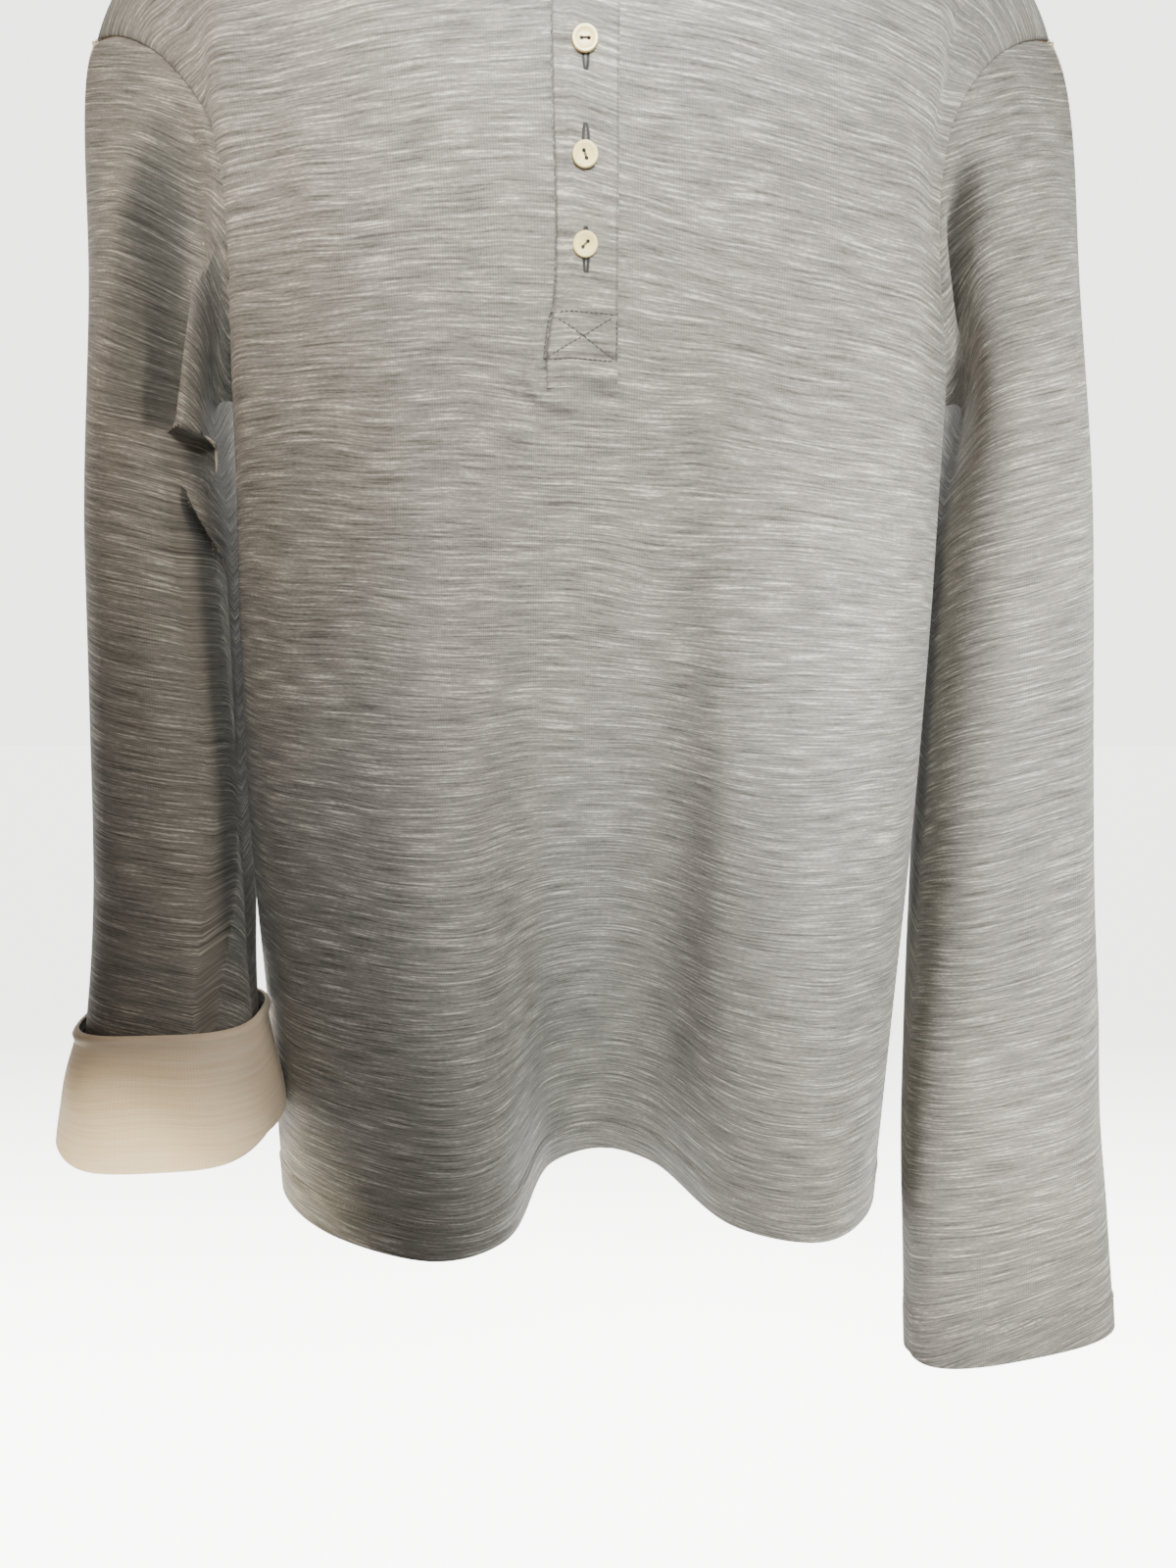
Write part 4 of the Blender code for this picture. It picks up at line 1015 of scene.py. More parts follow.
turned_rings[..., 2] += corner_lift(turned_rings[..., 0], turned_rings[..., 2])
sleeve_turned, _ = make_sleeve(
    "sleeve_turned_knit", 0, turned_rings, turned_inner, TURNED_CREASES, TURNED_BACK_CREASES,
    0.0, tucked_back)
declare(sleeve_turned, ["sleeve_turned"])


# --- Turned-back end of the sleeve ---------------------------------------------------
# The last 70 mm of the sleeve turned up over itself, so that its cream face shows. It
# bulges softly and its raw-edged lip rolls outwards.

TURN_BACK_CLEARANCE = 0.0022
TURN_BACK_BULGE = 0.0045
TURN_BACK_SWELL = 0.0026
LIP_ROLL = 0.0022
cuff_angles = np.linspace(0, 2 * math.pi, 161)[:-1]
cuff_outer, cuff_inner = [], []
fold_radius = TURN_BACK_CLEARANCE / 2 + CLOTH
for angle in np.radians(np.linspace(0, 150, 9)):
    for points, bend in ((cuff_outer, fold_radius), (cuff_inner, fold_radius - CLOTH)):
        grow = TURN_BACK_CLEARANCE / 2 - bend * math.cos(angle)
        ring = sleeve_ring(TURNED_SLEEVE, cuff_bottom, 0, cuff_angles, grow)
        ring[:, 2] = cuff_bottom - SEAM_GAP - bend * math.sin(angle)
        points.append(ring)
for share in np.linspace(0, 1, 60):
    flare = TURN_BACK_BULGE * math.sin(math.pi * (0.35 + share) / 1.35)
    lip = LIP_ROLL * smooth_steps(share, 0.90, 0.98) - 0.0010 * smooth_steps(share, 0.97, 1.0)
    z = cuff_bottom + TURN_BACK_HEIGHT * share
    for points, wall in ((cuff_outer, CLOTH), (cuff_inner, 0.0)):
        grow = TURN_BACK_CLEARANCE + wall + flare + lip
        points.append(sleeve_ring(TURNED_SLEEVE, z, 0, cuff_angles, grow))
cuff_outer, cuff_inner = np.array(cuff_outer), np.array(cuff_inner)
for rows in (cuff_outer, cuff_inner):
    share, reach = on_turn_back(rows[..., 0], rows[..., 2])
    rows[..., 2] += corner_lift(rows[..., 0], rows[..., 2])
    rows[..., 2] += (0.0016 * reach - 0.0020 * reach**2) * share
    swell = TURN_BACK_SWELL * np.sin(rows[..., 0] * 95 + rows[..., 2] * 60) * np.sin(math.pi * share)
    rows[..., 1] += swell * np.sign(rows[..., 1] - cuff_y)


cuff_around = np.linspace(0, 0.27, len(cuff_angles) + 1)
cuff_rows = np.concatenate([cuff_outer, cuff_outer[:, :1]], 1)
cuff_uv = laid_out(cuff_around[None, :] + 5.0, cuff_rows[..., 2])
cuff = cloth_mesh("cuff_turn_back_knit", cuff_outer[:, ::-1], cuff_inner[:, ::-1], cuff_uv[:, ::-1],
                  [CREAM, MELANGE], closed=True, rims=(0.0, 0.0007))
declare(cuff, ["cuff_turn_back"])


# --- Placket -------------------------------------------------------------------------
# Two strips of the same knit. The over strip holds the buttonholes: its left edge is free,
# its right side runs into the front, and its foot is stitched down in a box with a cross.
# The under strip behind it carries the buttons.

PLACKET_RAISE = 0.0006
UNDER_STRIP_SPREAD = 0.003
UNDER_STRIP_TAIL = 0.006
UNDER_STRIP_CLOTH = 0.0012
EDGE_FOLD = (0.0017, 0.0012, 0.0022)  # rise of the folded free edge, how far in, half its width
EDGE_DROP = (0.0030, 0.0003)
EDGE_WAVE = (0.0005, 0.061, 0.006)  # height and length of the free edge's waves, and their reach
SEAM_FADE = 0.004  # within which the strip comes level with the front on the right
COURSE_SHIFT = 0.0105  # the strip is cut from other courses than the front under it
GROOVE = (0.0007, 0.0008)  # depth and half width of what a row of stitches pulls in


def level_length(half, level):
    """Length of half a section of the body, from side to side."""
    low, share = level_rows(level)
    return LENGTHS[half][low] * (1 - share) + LENGTHS[half][low + 1] * share


def body_normals(half, level, arc):
    """Outward directions of the body's face at arrays of levels and arcs."""
    step = 0.001
    low = np.minimum(level, SHOULDER_LEVEL - step)
    arc = np.clip(arc, step, level_length(half, low) - step)
    across = body_points(half, low, arc + step) - body_points(half, low, arc - step)
    up = body_points(half, low + step, arc) - body_points(half, low - step, arc)
    normals = unit(np.cross(across, up) * (1, -1)[half])
    top = level > SHOULDER_LEVEL - step
    normals[top] = ridge_normals(body_points(half, level, arc)[top][:, 0])
    return normals


def on_front(x, level, lift=0.0):
    """Points on the front at arrays of x and level, lifted off it, and their normals."""
    x, level = np.broadcast_arrays(np.asarray(x, float), np.asarray(level, float))
    arc = arc_at_x(0, level, x)
    normals = body_normals(0, level, arc)
    return stray(body_points(0, level, arc)) + normals * np.asarray(lift)[..., None], normals


def strip_points(x, bottom, rows):
    """Levels, arcs, points and normals of a strip of the front, foot first."""
    share = np.linspace(0, 1, rows + 1)[:, None]
    levels = bottom + (neck_level(0, x) - SEAM_GAP - bottom) * share
    arcs = arc_at_x(0, levels, np.broadcast_to(x, levels.shape))
    return levels, arcs, stray(body_points(0, levels, arcs)), body_normals(0, levels, arcs)


STRIP_FOOT = PLACKET_FOOT - 0.0085  # the strip's end lies over the front as a rounded lip
strip_x = np.concatenate([PLACKET_LEFT + np.array([0.0008, 0.0009, 0.0011, 0.0014, 0.0018]),
                          np.linspace(PLACKET_LEFT + 0.0023, PLACKET_RIGHT - 0.0001, 34)])
levels, arcs, points, normals = strip_points(strip_x, STRIP_FOOT, 150)


def foot_lift(level):
    """How far the strip rises over the front at its foot, rounded at its lower edge."""
    rise = (CLOTH + 0.0004) * (1 - smooth_steps(level, PLACKET_FOOT, PLACKET_FOOT + 0.012))
    return rise - (CLOTH + 0.0006) * bell(level - STRIP_FOOT, 0.0028)


from_edge = points[..., 0] - points[:, :1, 0]
from_right = PLACKET_RIGHT - points[..., 0]
strip_raise = (
    PLACKET_RAISE
    + EDGE_FOLD[0] * bell(from_edge - EDGE_FOLD[1], EDGE_FOLD[2])
    - EDGE_DROP[0] * bell(from_edge, EDGE_DROP[1])
    - PLACKET_RAISE * bell(from_right, SEAM_FADE)
    + EDGE_WAVE[0] * np.sin(levels * 2 * math.pi / EDGE_WAVE[1] + 1.0) * bell(from_edge, EDGE_WAVE[2])
    + foot_lift(levels)
    + crease_depth(FRONT_CREASES, points[..., 0], points[..., 2])
)
# The stitched box at the foot: its sides and its cross pull grooves into the strip.
BOX_LEFT, BOX_RIGHT = PLACKET_LEFT - 0.0006, PLACKET_RIGHT - 0.0006
BOX_FOOT, BOX_TOP = -0.2692, -0.2540
BOX_LINES = [
    (BOX_LEFT, BOX_FOOT, BOX_RIGHT, BOX_FOOT),
    (BOX_LEFT, BOX_TOP, BOX_RIGHT, BOX_TOP),
    (BOX_RIGHT, BOX_FOOT, BOX_RIGHT, BOX_TOP),
    (BOX_LEFT, BOX_FOOT, BOX_LEFT, BOX_TOP),
    (BOX_LEFT + 0.0022, BOX_FOOT, BOX_LEFT + 0.0022, BOX_TOP),
    (BOX_LEFT, BOX_FOOT, BOX_RIGHT, BOX_TOP),
    (BOX_LEFT, BOX_TOP, BOX_RIGHT, BOX_FOOT),
    (PLACKET_RIGHT - 0.0008, BOX_TOP, PLACKET_RIGHT - 0.0008, -0.1535),  # up to the neck
]


def near_line(x, level, line):
    """Distances of points from a straight line between two places on the front."""
    (x0, z0, x1, z1), (dx, dz) = line, (line[2] - line[0], line[3] - line[1])
    share = np.clip(((x - x0) * dx + (level - z0) * dz) / (dx * dx + dz * dz), 0, 1)
    return np.hypot(x - x0 - dx * share, level - z0 - dz * share)


for line in BOX_LINES:
    strip_raise -= GROOVE[0] * bell(near_line(strip_x, levels, line), GROOVE[1])
strip_outer = points + normals * strip_raise[..., None]
middle = level_length(0, levels) / 2
strip_uv = laid_out(arcs - middle, levels + COURSE_TILT * points[..., 0] + COURSE_SHIFT)
over_strip = cloth_mesh("placket_over_strip_knit", strip_outer, strip_outer - normals * CLOTH,
                        strip_uv, [MELANGE, CREAM])
declare(over_strip, ["placket_over_strip"])

levels, arcs, points, normals = strip_points(
    np.linspace(PLACKET_LEFT - UNDER_STRIP_SPREAD, PLACKET_RIGHT + UNDER_STRIP_SPREAD, 13),
    PLACKET_FOOT - UNDER_STRIP_TAIL, 60)
under_outer = points - normals * (CLOTH + SEAM_GAP)
middle = level_length(0, levels) / 2
under_uv = laid_out(arcs - middle + 0.4, levels)
under_strip = cloth_mesh("placket_under_strip_knit", under_outer,
                         under_outer - normals * UNDER_STRIP_CLOTH, under_uv, [MELANGE, CREAM])
declare(under_strip, ["placket_under_strip"])


# --- Collar --------------------------------------------------------------------------
# A stand sewn round the neck from the placket's free edge back to it, and a leaf joined to
# its top that turns down over the shoulders. Both are the same knit.

COLLAR_STAND = 0.026
COLLAR_LEAN = 0.005
COLLAR_REACH = 0.032
COLLAR_POINT_LEVEL = -0.148
COLLAR_SPREAD = 0.034
COLLAR_CLEARANCE = 0.0040
COLLAR_ROLL = (0.022, 0.012)
COLLAR_FALL = 1.2
COLLAR_TUCK = 0.006


def evened(points, passes):
    """A row of points with its corners eased, ends kept."""
    points = points.copy()
    for _ in range(passes):
        points[1:-1] = points[1:-1] / 2 + (points[:-2] + points[2:]) / 4
    return points


def spaced(line, count):
    """A row of points at even distances along a line."""
    lengths = arc_lengths(line)
    return at_lengths(line, lengths, np.linspace(0, lengths[-1], count))


def neck_parts(front, back):
    """The neck's edge in three parts: the front right of the free edge, the back, the front left."""
    on_right = (FRONT_COLUMNS > PLACKET_LEFT - SAME) & (FRONT_COLUMNS < NECK_HALF_WIDTH + SAME)
    on_left = (FRONT_COLUMNS > -NECK_HALF_WIDTH - SAME) & (FRONT_COLUMNS < PLACKET_LEFT + SAME)
    behind = abs(BACK_COLUMNS) < NECK_HALF_WIDTH + SAME
    return front[-1][on_right], back[-1][behind][::-1], front[-1][on_left]


PART_COUNTS = (40, 60, 30)
neck_out, neck_in = (
    np.vstack([spaced(part, count) for part, count in zip(neck_parts(*faces), PART_COUNTS)])
    for faces in ((front_outer, back_outer), (front_inner, back_inner))
)
neck_half = np.repeat([0, 1, 0], PART_COUNTS)
neck_side = np.repeat([1, 0, -1], PART_COUNTS)
keep = np.ones(len(neck_out), bool)
keep[[PART_COUNTS[0], PART_COUNTS[0] + PART_COUNTS[1]]] = False  # corners the parts share
neck_out, neck_in, neck_half, neck_side = (a[keep] for a in (neck_out, neck_in, neck_half, neck_side))
neck_out[0, 0] += SEAM_GAP
neck_out[-1, 0] -= SEAM_GAP
tangents = np.gradient(evened(neck_out, 6), axis=0)
slopes = unit(-np.cross(tangents, neck_out - neck_in))
outwards = unit(neck_out * (1, 1, 0))
up = np.array([0.0, 0.0, 1.0])
start = neck_out + slopes * SEAM_GAP
top = evened(neck_out + up * COLLAR_STAND - outwards * COLLAR_LEAN, 40)
stand_shares = np.linspace(0, 1, 14)
stand = np.array(rolled(start, top, slopes * COLLAR_STAND, up * COLLAR_STAND, stand_shares))
stand_in = stand - outwards * CLOTH
stand_in[0] = neck_in + slopes * SEAM_GAP
collar_along = arc_lengths(neck_out)
stand_uv = laid_out(collar_along + 6.0, np.linspace(0, 0.03, 14)[:, None])
collar_stand = cloth_mesh("collar_stand_knit", stand, stand_in, stand_uv, [MELANGE, CREAM])
declare(collar_stand, ["collar_stand"])


def leaf_edge(neck):
    """Where the collar's leaf ends, held just off the shirt, for each point of the neck."""
    x = neck[:, 0]
    end = NECK_HALF_WIDTH + COLLAR_REACH
    back_share = 1 - abs(x) / NECK_HALF_WIDTH
    front_share = 1 - (x - PLACKET_LEFT) * neck_side / (NECK_HALF_WIDTH - PLACKET_LEFT * neck_side)
    share = np.clip(np.where(neck_half, back_share, front_share), 0, 1)
    tip = PLACKET_LEFT + neck_side * COLLAR_SPREAD
    target = np.where(neck_half, x * end / NECK_HALF_WIDTH,
                      tip + (neck_side * end - tip) * (1 - share))
    low = np.where(neck_half, NECK_LEVELS[1] - COLLAR_REACH, COLLAR_POINT_LEVEL)
    drop = np.sin(share * math.pi / 2) ** 0.8
    level = np.minimum(SHOULDER_LEVEL + (low - SHOULDER_LEVEL) * drop, SHOULDER_LEVEL - 0.0005)
    points = np.zeros_like(neck)
    for half in (0, 1):
        chosen = neck_half == half
        arc = arc_at_x(half, level[chosen], target[chosen])
        seat = body_points(half, level[chosen], arc)
        points[chosen] = seat + body_normals(half, level[chosen], arc) * COLLAR_CLEARANCE
    return evened(points, 60)


def grid_tree(outer, flip):
    """A search tree over a grid of points, its faces looking outwards."""
    rows, columns = outer.shape[:2]
    i, j = np.mgrid[:rows - 1, :columns - 1]
    a = (i * columns + j).ravel()
    faces = np.stack([a, a + 1, a + columns + 1, a + columns], 1)
    return BVHTree.FromPolygons(outer.reshape(-1, 3).tolist(), faces[:, ::-1 if flip else 1].tolist())


def held_off(rows, trees, clearance):
    """Moves points that lie closer to the body than clearance straight out from it."""
    for point in rows.reshape(-1, 3):
        hits = [tree.find_nearest(Vector(point)) for tree in trees]
        seat, normal, _, _ = min(hits, key=lambda hit: hit[3])
        gap = normal.dot(Vector(point) - seat)
        if gap < clearance:
            point += np.array(normal) * (clearance - gap)
    return rows


fold = top - outwards * CLOTH / 2 + up * (2 * SEAM_GAP + CLOTH / 2)
edge = leaf_edge(neck_out)
roll = up * COLLAR_ROLL[0] + outwards * COLLAR_ROLL[1]
fall = (edge - fold - outwards * COLLAR_TUCK) * COLLAR_FALL
leaf_shares = np.concatenate([np.linspace(0, 0.2, 8)[:-1], np.linspace(0.2, 1, 20)])
leaf = np.array(rolled(fold, edge, roll, fall, leaf_shares))
body_trees = [grid_tree(front_outer, False), grid_tree(back_outer, True)]
leaf[4:] = held_off(leaf[4:], body_trees, COLLAR_CLEARANCE)
thick = grid_normals(leaf) * CLOTH / 2
leaf_uv = laid_out(collar_along + 7.0, leaf_shares[:, None] * 0.06)
collar_leaf = cloth_mesh("collar_leaf_knit", leaf + thick, leaf - thick, leaf_uv,
                         [MELANGE, MELANGE], rims=(0.0, RIM))
declare(collar_leaf, ["collar_leaf"])


# --- Buttons -------------------------------------------------------------------------
# Three flat cream buttons of cast polyester with a raised rim and two holes, sewn on with
# grey thread that shows across the holes.

BUTTON_DIAMETER = 0.0120
BUTTON_THICKNESS = 0.0024
BUTTON_HOLE = 0.0019
BUTTON_HOLE_SPACING = 0.0034
BUTTON_LEVELS = (-0.1715, -0.2060, -0.2330)
BUTTON_TURNS = (0, 110, 45)
BUTTON_X = (PLACKET_LEFT + PLACKET_RIGHT) / 2 + 0.0002


def flecked_material(name, dark, light, scale, detail, roughness, ior):
    """A material that drifts between two tones, with its shader."""
    material, tree, shader = new_material(name, roughness, ior)
    place = add_node(tree, "ShaderNodeTexCoord").outputs["Object"]
    noise = add_node(tree, "ShaderNodeTexNoise", {"Vector": place, "Scale": scale, "Detail": detail})
    tint(tree, shader, noise.outputs["Fac"], [(0, dark), (1, light)])
    return material, shader


# Polished plastic, IOR 1.55: a soft highlight on its rim, and light enters it a little.
BUTTON_CREAM, button_shader = flecked_material(
    "cast_polyester_cream", "#f7e08a", "#fff3b4", 260.0, 2.0, roughness=0.32, ior=1.55)
button_shader.inputs["Subsurface Weight"].default_value = 0.15
button_shader.inputs["Subsurface Scale"].default_value = 0.002


def thread_material(name, dark, light):
    """Twisted polyester sewing thread: a little shinier than the knit."""
    return flecked_material(name, dark, light, 900.0, 1.0, roughness=0.6, ior=1.5)[0]


FINE_THREAD = 0.0004
THREAD = thread_material("grey_sewing_thread", "#5f5f5c", "#7f7e7a")
BOX_THREAD = thread_material("mid_grey_sewing_thread", "#363736", "#505150")
DARK_THREAD = thread_material("dark_grey_sewing_thread", "#2f3032", "#4c4d4e")


def small_mesh(name, points, faces, material):
    """A small piece of one material that rides on the shirt."""
    mesh = bpy.data.meshes.new(name)
    mesh.from_pydata(points.tolist(), [], faces.tolist())
    mesh.materials.append(material)
    mesh.shade_smooth()
    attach(add_object(name, mesh), "root")


THREAD_SIDES, THREAD_ROWS = 6, 7


def thread_mesh(name, starts, ends, normals, thickness, material, rise=0.5):
    """Short lengths of thread, each a small arch from a start to an end over the cloth."""
    around, along = THREAD_SIDES, THREAD_ROWS
    turn = np.arange(around) / around * 2 * math.pi
    share = np.linspace(0, 1, along)
    span = ends - starts
    sides = unit(np.cross(span, normals))
    swell = np.sin(np.pi * (0.06 + 0.88 * share)) ** 0.5
    lift = np.sin(np.pi * share) * thickness * rise
    spine = starts[:, None] + span[:, None] * share[:, None] + normals[:, None] * lift[:, None]
    ring = (
        sides[:, None, None] * np.cos(turn)[:, None] + normals[:, None, None] * np.sin(turn)[:, None]
    )
    points = spine[:, :, None] + ring * (swell[:, None, None] * thickness / 2)
    points = points.reshape(-1, 3)
    i, k = np.mgrid[:along - 1, :around]
    a, b = (i * around + k).ravel(), (i * around + (k + 1) % around).ravel()
    cap = np.array([(0, 1, 2, 3), (0, 3, 4, 5)])  # two faces close each end
    last = (along - 1) * around
    one = np.vstack([np.stack([a, b, b + around, a + around], 1), around - 1 - cap, cap + last])
    faces = (one[None] + (np.arange(len(starts)) * around * along)[:, None, None]).reshape(-1, 4)
    small_mesh(name, points, faces, material)


half_thick = BUTTON_THICKNESS / 2
BUTTON_PROFILE = [
    # radius  height
    (0.0000, half_thick - 0.0008),
    (0.0028, half_thick - 0.0008),
    (0.0036, half_thick - 0.0006),
    (0.0042, half_thick - 0.0002),
    (0.0048, half_thick),
    (0.0055, half_thick - 0.0001),
    (0.0058, half_thick - 0.0005),
    (BUTTON_DIAMETER / 2, 0.0),
    (0.0058, 0.0006 - half_thick),
    (0.0052, -half_thick),
    (0.0000, -half_thick),
]


def make_button(number, level, turn):
    """A button turned from its profile with its two holes cut, and the thread over them."""
    seat, normal = on_front(BUTTON_X, level, PLACKET_RAISE + SEAM_GAP + BUTTON_THICKNESS / 2)
    around = 48
    turns = np.arange(around) / around * 2 * math.pi
    points = [(0.0, 0.0, BUTTON_PROFILE[0][1])]
    for r, z in BUTTON_PROFILE[1:-1]:
        points += [(r * math.cos(t), r * math.sin(t), z) for t in turns]
    points.append((0.0, 0.0, BUTTON_PROFILE[-1][1]))
    disc = bmesh.new()
    verts = [disc.verts.new(point) for point in points]
    rings = [verts[1 + i * around:1 + (i + 1) * around] for i in range(len(BUTTON_PROFILE) - 2)]
    for k in range(around):
        n = (k + 1) % around
        disc.faces.new([verts[0], rings[0][k], rings[0][n]])
        disc.faces.new([verts[-1], rings[-1][n], rings[-1][k]])
        for upper, lower in zip(rings, rings[1:]):
            disc.faces.new([upper[k], lower[k], lower[n], upper[n]])
    mesh = bpy.data.meshes.new(f"button_{number}_disc")
    disc.to_mesh(mesh)
    disc.free()
    mesh.materials.append(BUTTON_CREAM)
    mesh.shade_smooth()
    piece = add_object(f"button_{number}_disc", mesh)
    frame_turn = Vector(normal).to_track_quat("Z", "Y").to_matrix().to_4x4()
    placed = Matrix.Translation(Vector(seat)) @ frame_turn
    angle = math.radians(turn)
    holes = []
    for end in (-1, 1):
        offset = Vector((math.cos(angle), math.sin(angle), 0)) * end * BUTTON_HOLE_SPACING / 2
        bpy.ops.mesh.primitive_cylinder_add(vertices=24, radius=BUTTON_HOLE / 2, depth=0.01,
                                            location=offset)
        holes.append((bpy.context.object, offset))
        cut = piece.modifiers.new("hole", "BOOLEAN")
        cut.object = bpy.context.object
    bpy.context.view_layer.update()
    cut_mesh = bpy.data.meshes.new_from_object(
        piece.evaluated_get(bpy.context.evaluated_depsgraph_get()))
    piece.modifiers.clear()
    piece.data = cut_mesh
    cut_mesh.set_sharp_from_angle(angle=math.radians(40))
    for hole, _ in holes:
        bpy.data.objects.remove(hole)
    piece.matrix_world = placed
    declare(piece, [f"button_{number}"])
    side = Vector((-math.sin(angle), math.cos(angle), 0))
    dish = Vector((0, 0, half_thick - 0.0009))
    starts, ends = (
        np.array([placed @ (offset + side * shift + dish) for shift in (-0.0003, 0.0003)])
        for _, offset in holes
    )
    thread_mesh(f"button_{number}_thread", starts, ends, np.array([normal, normal]),
                FINE_THREAD, BOX_THREAD, rise=1.2)


for number, (level, turn) in enumerate(zip(BUTTON_LEVELS, BUTTON_TURNS), start=1):
    make_button(number, level, turn)


# --- Stitches ------------------------------------------------------------------------
# Twin rows of stitches hold the hems. On the placket a row runs down its sewn right side, the
# foot is fixed with a box and a cross, and each upright buttonhole is edged with close zigzag.

HEM_STITCH = 0.0026
BOX_STITCH = 0.0024
STITCH_SHARE = 0.78  # of the pitch; the rest lies behind the cloth
STITCH_SINK = 0.0001
TWIN_GAP = 0.0032
HEM_THREAD = 0.0005
BOX_STITCH_THREAD = 0.00062
BUTTONHOLE_THREAD = 0.00048


def thread_row(path, normals, pitch, thickness):
    """Starts, ends and normals of stitches along a line of points."""
    lengths = arc_lengths(path)
    begin = np.arange(max(int(lengths[-1] / pitch), 1)) * pitch
    starts, ends = (at_lengths(path, lengths, at) for at in (begin, begin + pitch * STITCH_SHARE))
    normal = at_lengths(normals, lengths, begin)
    shift = normal * (thickness * 0.2 - STITCH_SINK)
    return starts + shift, ends + shift, normal


def joined(rows):
    """Rows of stitches as one set of starts, ends and normals."""
    return [np.vstack(parts) for parts in zip(*rows)]


hem_rows = []
for half, columns in ((0, FRONT_COLUMNS), (1, BACK_COLUMNS)):
    creases = (FRONT_CREASES, BACK_CREASES)[half]
    for height in (HEM_HEIGHT, HEM_HEIGHT - TWIN_GAP):
        level = np.full(300, HEM_LEVEL + height)
        arcs = np.linspace(0.002, 0.998, 300) * level_length(half, level)
        points = body_points(half, level, arcs)
        normals = body_normals(half, level, arcs)
        move = crease_depth(creases, points[:, 0], points[:, 2]) + hem_relief(np.array(height))
        path = points + normals * move[:, None]
        hem_rows.append(thread_row(path, normals, HEM_STITCH, FINE_THREAD))
thread_mesh("hem_stitches", *joined(hem_rows), HEM_THREAD, THREAD)

# The plain sleeve's hem is stitched the same way; its rows run from the sleeve's end up.
sleeve_rows = []
sleeve_normals = grid_normals(plain_outer, closed=True)
for row, next_row, share in ((9, 10, 0.5), (7, 6, 0.1)):  # each between two rings of the sleeve
    path = plain_outer[row] * (1 - share) + plain_outer[next_row] * share
    outward = sleeve_normals[row]
    outward = outward * np.sign((outward * (path - path.mean(axis=0))).sum(axis=1).mean())
    path, outward = np.vstack([path, path[:1]]), np.vstack([outward, outward[:1]])
    sleeve_rows.append(thread_row(path, outward, HEM_STITCH, FINE_THREAD))
thread_mesh("sleeve_hem_stitches", *joined(sleeve_rows), HEM_THREAD, THREAD)


def front_place(x, level, lift):
    """Points and normals on the front where its creases have moved it."""
    points, normals = on_front(x, level)
    move = crease_depth(FRONT_CREASES, points[..., 0], points[..., 2]) + lift
    return points + normals * move[..., None], normals


placket_rows = []
for x0, level0, x1, level1 in BOX_LINES:
    share = np.linspace(0, 1, 60)
    levels = level0 + (level1 - level0) * share
    path, normals = front_place(x0 + (x1 - x0) * share, levels,
                                PLACKET_RAISE + foot_lift(levels) - 0.0003)
    placket_rows.append(thread_row(path, normals, BOX_STITCH, 0.0005))
thread_mesh("placket_box_stitches", *joined(placket_rows[:-1]), BOX_STITCH_THREAD, BOX_THREAD)
thread_mesh("placket_side_stitches", *joined(placket_rows[-1:]), FINE_THREAD, THREAD)

# Upright buttonholes: close zigzag down both sides of a cut 12 to 14 mm long, drawn to a point.
BUTTONHOLES = ((-0.1665, -0.1805), (-0.1965, -0.2085), (-0.2275, -0.2415))
BUTTONHOLE_X = -0.0010
BUTTONHOLE_OPENING = 0.0013
ZIGZAG_STITCHES = 46
ZIGZAG_HALF = 0.0007
hole_lift = PLACKET_RAISE + 0.0001
hole_rows = []
for upper, lower in BUTTONHOLES:
    levels = np.linspace(upper, lower, ZIGZAG_STITCHES)
    swell = np.sin(np.linspace(0.12, math.pi - 0.12, ZIGZAG_STITCHES)) ** 0.5
    for side in (-1, 1):
        middle = BUTTONHOLE_X + side * BUTTONHOLE_OPENING * swell
        starts, normals = front_place(middle - ZIGZAG_HALF, levels, hole_lift)
        ends, _ = front_place(middle + ZIGZAG_HALF, levels - 0.0001, hole_lift)
        hole_rows.append((starts, ends, normals))
thread_mesh("buttonhole_stitches", *joined(hole_rows), BUTTONHOLE_THREAD, DARK_THREAD)


# --- Floor, light and camera ---------------------------------------------------------
# A sheet of white acrylic below the shirt and a white surround behind it. The lamps are
# narrow and each lights one part of the shirt. The camera stands at about half the shirt's
# height and looks a little down.

bpy.ops.mesh.primitive_plane_add(size=8, location=(0, 0, -1.15))
floor = bpy.context.object
floor.name = "studio_floor"
# Matt white acrylic, lit from below behind the shirt, as on a light table.
paint, floor_tree, floor_shader = new_material("white_acrylic_floor", roughness=0.9, ior=1.5)
floor_place = add_node(floor_tree, "ShaderNodeNewGeometry").outputs["Position"]
floor_y = add_node(floor_tree, "ShaderNodeSeparateXYZ", {"Vector": floor_place}).outputs["Y"]


def smooth_range(tree, value, start, end, low, high):
    """Low before start, high after end, and an even S between, as an output."""
    inputs = {"Value": value, "From Min": start, "From Max": end, "To Min": low, "To Max": high}
    made = add_node(tree, "ShaderNodeMapRange", inputs, interpolation_type="SMOOTHSTEP")
    return made.outputs["Result"]


table = smooth_range(floor_tree, floor_y, 0.02, 0.155, 0.0, 1.0)
table_glow = smooth_range(floor_tree, floor_y, 0.2, 1.3, 9.0, 3.45)
table_glow = add_node(floor_tree, "ShaderNodeMath", {0: table, 1: table_glow}, operation="MULTIPLY")
floor_tree.links.new(table_glow.outputs[0], floor_shader.inputs["Emission Strength"])
floor_shader.inputs["Emission Color"].default_value = srgb("#fffdfb")
floor_shader.inputs["Base Color"].default_value = srgb("#f2f2f0")
floor.data.materials.append(paint)

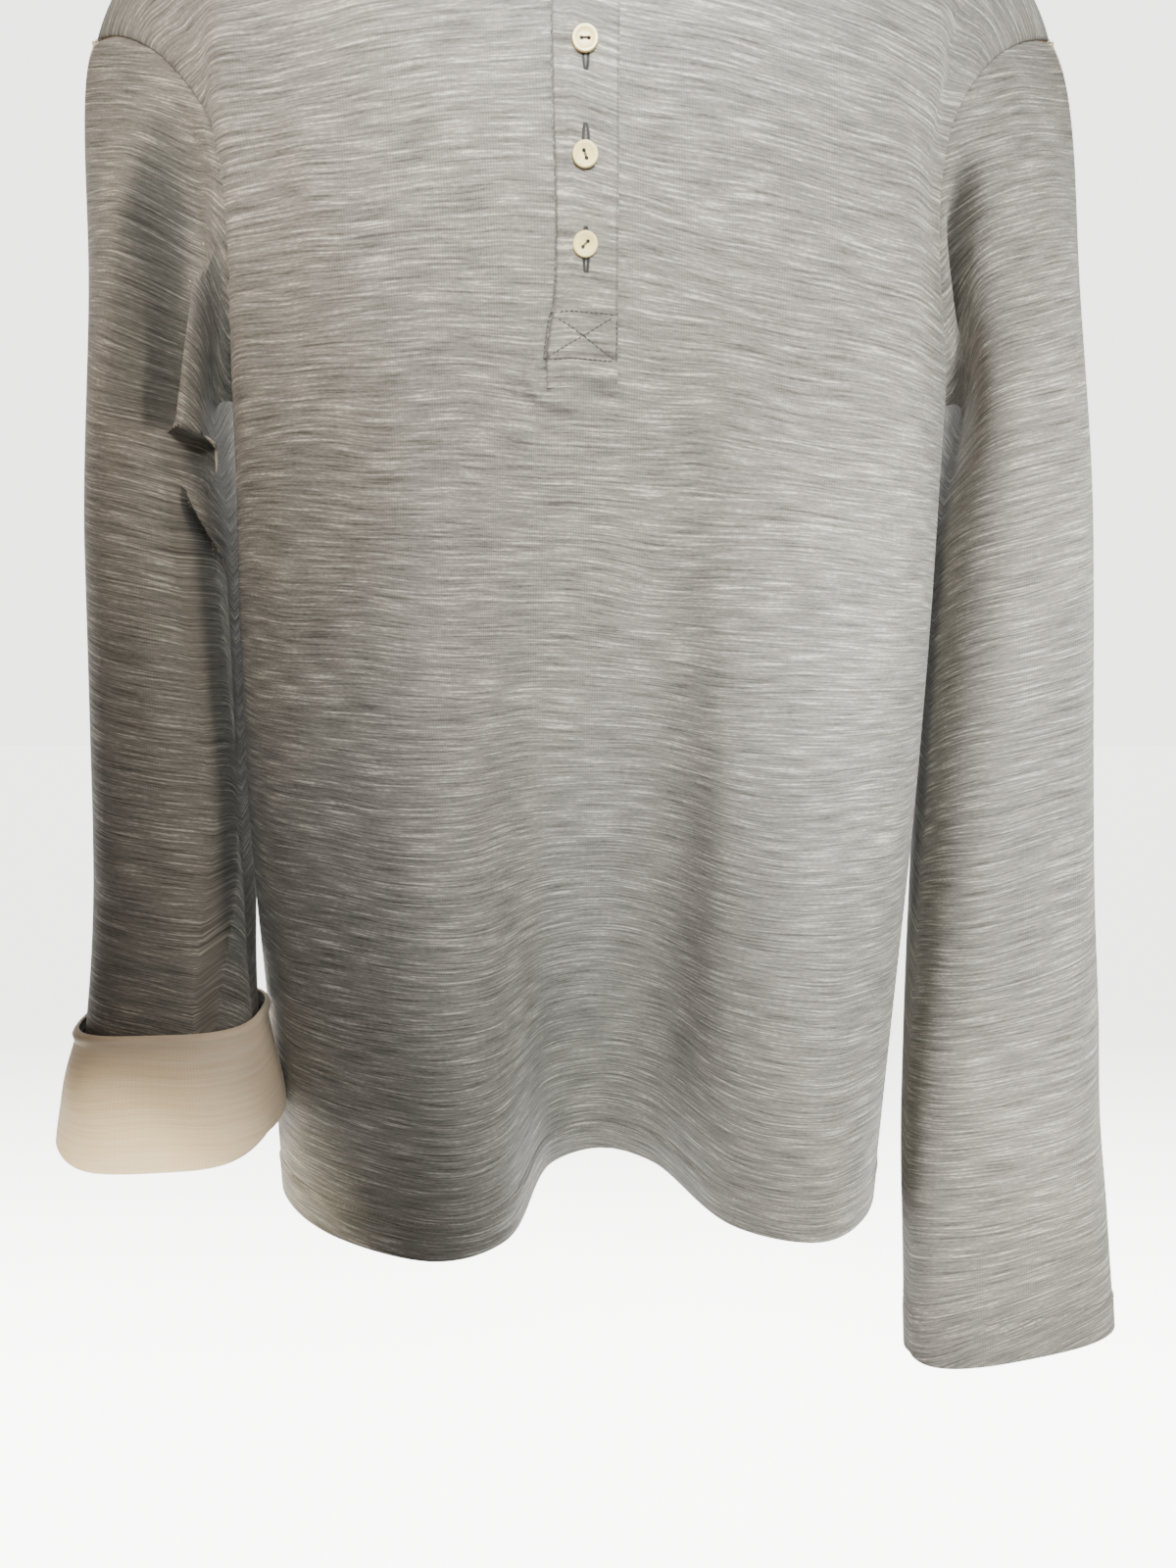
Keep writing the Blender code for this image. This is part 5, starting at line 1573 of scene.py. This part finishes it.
# A white surround that glows behind the shirt, dim in front of it, so that it stays shaded.
world = bpy.data.worlds.new("studio_world")
bpy.context.scene.world = world
world.use_nodes = True
sky = world.node_tree
direction = add_node(sky, "ShaderNodeTexCoord").outputs["Generated"]
backwards = add_node(sky, "ShaderNodeVectorMath", {0: direction, 1: (0, 1, 0)},
                     operation="DOT_PRODUCT").outputs["Value"]
glow = smooth_range(sky, backwards, 0.66, 0.83, 0.04, 3.5)
sky.nodes["Background"].inputs["Color"].default_value = srgb("#fffdfb")
sky.links.new(glow, sky.nodes["Background"].inputs["Strength"])


def lamp(name, kind, location, target, power, colour, size, cone=None):
    """A soft lamp that points at a target.

    size is a disc's width, a spot's radius or, for a sun, its angle in degrees.
    """
    light = bpy.data.lights.new(name, kind)
    light.energy = power
    light.color = srgb(colour)[:3]
    if kind == "AREA":
        light.shape = "DISK"
        light.size = size
    elif kind == "SPOT":
        light.spot_size = math.radians(cone)
        light.spot_blend = 1
        light.shadow_soft_size = size
    else:
        light.angle = math.radians(size)
    holder = add_object(name, light)
    holder.location = location
    holder.rotation_euler = (Vector(target) - Vector(location)).to_track_quat("-Z", "Y").to_euler()


lamp("top_light", "SPOT", (0.45, -1.2, 0.45), (0.05, -0.08, -0.12), 64, "#fffefc", 0.15, cone=21)
lamp("collar_light", "SPOT", (0, -1.3, 0.35), (0, -0.08, 0.02), 320, "#fffefc", 0.15, cone=20)
lamp("chest_light", "SPOT", (0, -1.3, 0.35), (0.0, -0.09, -0.34), 62, "#fffefc", 0.15, cone=20)
lamp("side_light", "AREA", (1.096, -0.096, 0.1), (0.02, 0, -0.06), 6.9, "#fffaf4", 0.35)
lamp("front_light", "SPOT", (0.45, -1.15, -0.1), (0.14, -0.09, -0.46), 78, "#ffffff", 0.15, cone=26)
lamp("right_light", "SPOT", (1.1, -0.6, 0.4), (0.05, -0.09, -0.3), 16, "#fff6ec", 0.15, cone=34)
lamp("arm_light", "SPOT", (0.6, -1.15, 0.2), (0.21, -0.07, -0.32), 225, "#fffaf4", 0.15, cone=16)
lamp("sleeve_light", "SPOT", (0.45, -1.15, -0.1), (0.23, -0.08, -0.66), 250, "#fffaf2", 0.15, cone=16)
lamp("left_light", "SPOT", (-0.8, -1.0, 0.3), (-0.18, -0.08, -0.12), 70, "#ffe8d0", 0.15, cone=22)
lamp("low_light", "SPOT", (1.1, -0.6, 0.4), (-0.2, -0.08, -0.35), 29, "#ffe2c6", 0.15, cone=22)
lamp("cuff_light", "SPOT", (-0.35, -1.1, -0.35), (-0.231, -0.07, -0.705), 500, "#fff0cc", 0.08, cone=6)
lamp("fill_light", "SUN", (-2, -1.2, 0), (0, 0, -0.4), 0.13, "#ffa860", 50)

camera_data = bpy.data.cameras.new("camera")
camera_data.sensor_fit = "VERTICAL"
camera_data.sensor_height = 36
camera_data.sensor_width = 27
camera_data.lens = 27.045
camera_data.clip_start = 0.01
camera = add_object("camera", camera_data)
camera.location = (0, -0.655, -0.318)
camera.rotation_euler = (math.radians(78), 0, 0)
bpy.context.scene.camera = camera
